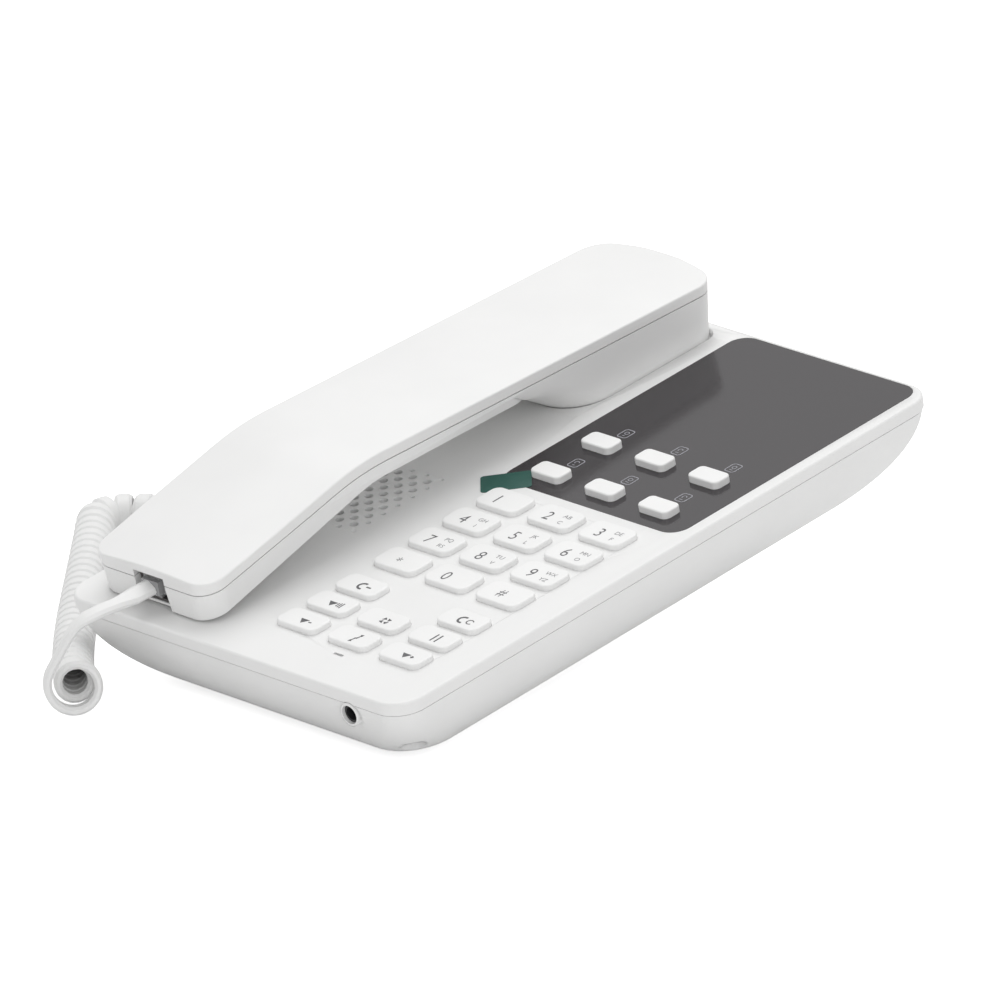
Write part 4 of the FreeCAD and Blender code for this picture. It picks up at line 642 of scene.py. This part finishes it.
def thin_way(point):
    """Which way the flat cord's thin side faces: up at the plug, out from the axis in the coil."""
    nearest = nearest_of(helix, point)
    if 0 < nearest < len(helix) - 1:
        return radials[nearest]
    if nearest == 0:
        end, plug_exit, up = 0, handset_plug_exit, deck_turn @ Vector((0, 0, 1))
    else:
        end, plug_exit, up = -1, base_plug_exit, Vector((0, 0, 1))
    share = min(1.0, (point - helix[end]).length / (plug_exit - helix[end]).length)
    return radials[end].lerp(up, share)


bm = bmesh.new()
ring = bmesh.ops.create_circle(bm, segments=SECTION_SIDES, radius=0.5)["verts"]
bmesh.ops.scale(bm, vec=(CORD_WIDTH, CORD_THICKNESS, 1), verts=ring)
flat_section = [vertex.co.copy() for vertex in ring]
for spot in flat_section:
    round_angle = math.atan2(spot.y / CORD_THICKNESS, spot.x / CORD_WIDTH)
    spot *= 1.0 + SECTION_SQUARE * abs(math.sin(2 * round_angle))
edges = list({edge for vertex in ring for edge in vertex.link_edges})
for number, point in enumerate(cord_line):
    following = cord_line[min(number + 1, len(cord_line) - 1)]
    ahead = (following - cord_line[max(number - 1, 0)]).normalized()
    wanted = thin_way(point)
    thin = (wanted - ahead * wanted.dot(ahead)).normalized()
    wide = thin.cross(ahead)
    if number:
        grown = bmesh.ops.extrude_edge_only(bm, edges=edges)["geom"]
        fresh = {element for element in grown if isinstance(element, bmesh.types.BMVert)}
        ring = [next(edge.other_vert(vertex) for edge in vertex.link_edges
                     if edge.other_vert(vertex) in fresh) for vertex in ring]
        edges = [element for element in grown if isinstance(element, bmesh.types.BMEdge)
                 and element.verts[0] in fresh and element.verts[1] in fresh]
    for vertex, spot in zip(ring, flat_section):
        vertex.co = point + wide * spot.x + thin * spot.y
bmesh.ops.holes_fill(bm, edges=[edge for edge in bm.edges if edge.is_boundary], sides=0)
bmesh.ops.recalc_face_normals(bm, faces=bm.faces)
cord_vinyl = moulded_plastic("white_cord_vinyl", (0.78, 0.78, 0.775), 0.46, 1500, 0.01 * MM)
curly_cord = finished("curly_cord", bm, cord_vinyl, None, ROOM)
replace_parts(curly_cord, "handset_tail", "curly_coil", "base_tail")
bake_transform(curly_cord)

# Room: a white paper floor that keeps a faint shadow, a surround that is brighter to the camera
# and to mirrors and glass than as a light, and two soft lamps.

FLOOR_HALF, FLOOR_WHITE, FLOOR_ROUGHNESS, FLOOR_GLOW = 3.0, 0.9, 0.9, 0.72
SURROUND_LIGHT, SURROUND_SEEN = 0.62, 1.0
LAMP_TARGET = (0, 0, 0.03)


def white_glow(node, strength):
    """Has a node give white light of one strength, and returns its output."""
    node.inputs["Color"].default_value = (1, 1, 1, 1)
    node.inputs["Strength"].default_value = strength
    return node.outputs[0]


def seen_by(tree, *rays):
    """A value that is one for any of these kinds of ray, else nothing."""
    path = tree.nodes.new("ShaderNodeLightPath")
    seen = path.outputs[f"Is {rays[0]} Ray"]
    for ray in rays[1:]:
        either = tree.nodes.new("ShaderNodeMath")
        either.operation = "MAXIMUM"
        tree.links.new(seen, either.inputs[0])
        tree.links.new(path.outputs[f"Is {ray} Ray"], either.inputs[1])
        seen = either.outputs[0]
    return seen


def shared(tree, share, first, second):
    """One shader where the share is nothing, the other where it is one."""
    mix = tree.nodes.new("ShaderNodeMixShader")
    tree.links.new(share, mix.inputs["Fac"])
    tree.links.new(first, mix.inputs[1])
    tree.links.new(second, mix.inputs[2])
    return mix.outputs[0]


floor_bm = bmesh.new()
bmesh.ops.create_grid(floor_bm, x_segments=1, y_segments=1, size=FLOOR_HALF)
floor_mesh = bpy.data.meshes.new("floor")
floor_bm.to_mesh(floor_mesh)
floor_bm.free()
floor = bpy.data.objects.new("floor", floor_mesh)
bpy.context.scene.collection.objects.link(floor)
floor_paper = bpy.data.materials.new("floor_paper")
floor_paper.use_nodes = True
paper = floor_paper.node_tree
paper_shader = paper.nodes["Principled BSDF"]
paper_shader.inputs["Base Color"].default_value = (FLOOR_WHITE, FLOOR_WHITE, FLOOR_WHITE, 1)
paper_shader.inputs["Roughness"].default_value = FLOOR_ROUGHNESS
dark = white_glow(paper.nodes.new("ShaderNodeEmission"), 0.0)
glow = white_glow(paper.nodes.new("ShaderNodeEmission"), FLOOR_GLOW)
paper_seen = shared(paper, seen_by(paper, "Camera", "Transmission"), dark, glow)
both = paper.nodes.new("ShaderNodeAddShader")
paper.links.new(paper_shader.outputs[0], both.inputs[0])
paper.links.new(paper_seen, both.inputs[1])
paper.links.new(both.outputs[0], paper.nodes["Material Output"].inputs["Surface"])
floor_mesh.materials.append(floor_paper)

world = bpy.data.worlds.new("studio")
bpy.context.scene.world = world
world.use_nodes = True
sky = world.node_tree
sky_light = white_glow(sky.nodes["Background"], SURROUND_LIGHT)
sky_seen = white_glow(sky.nodes.new("ShaderNodeBackground"), SURROUND_SEEN)
sky_mix = shared(sky, seen_by(sky, "Camera", "Glossy", "Transmission"), sky_light, sky_seen)
sky.links.new(sky_mix, sky.nodes["World Output"].inputs["Surface"])


def softbox(name, place, side, power):
    """A square soft lamp turned to the telephone."""
    lamp = bpy.data.lights.new(name, "AREA")
    lamp.shape = "RECTANGLE"
    lamp.size, lamp.size_y = side, side
    lamp.energy = power
    holder = bpy.data.objects.new(name, lamp)
    holder.location = place
    towards = Vector(LAMP_TARGET) - Vector(place)
    holder.rotation_euler = towards.to_track_quat("-Z", "Y").to_euler()
    bpy.context.scene.collection.objects.link(holder)


softbox("overhead_softbox", (-0.35, 0.45, 1.5), 1.4, 13)
softbox("camera_side_fill", (1.6, -1.2, 0.9), 1.2, 9)

# Camera: a long lens at the photograph's height and side, about three metres from the telephone,
# as it was solved from the photograph.

CAMERA_AZIMUTH, CAMERA_ELEVATION = 0.79007, 0.32967
CAMERA_PLACE = (2.190064, -2.170002, 1.094394)
SENSOR_WIDTH, FOCAL_LENGTH, CLIP_END = 36, 468, 20
camera_data = bpy.data.cameras.new("camera")
camera_data.sensor_width = SENSOR_WIDTH
camera_data.lens = FOCAL_LENGTH
camera_data.clip_end = CLIP_END
camera = bpy.data.objects.new("camera", camera_data)
camera.location = CAMERA_PLACE
camera.rotation_euler = (math.pi / 2 - CAMERA_ELEVATION, 0, CAMERA_AZIMUTH)
bpy.context.scene.collection.objects.link(camera)
bpy.context.scene.camera = camera
bpy.context.scene.view_settings.view_transform = "Standard"
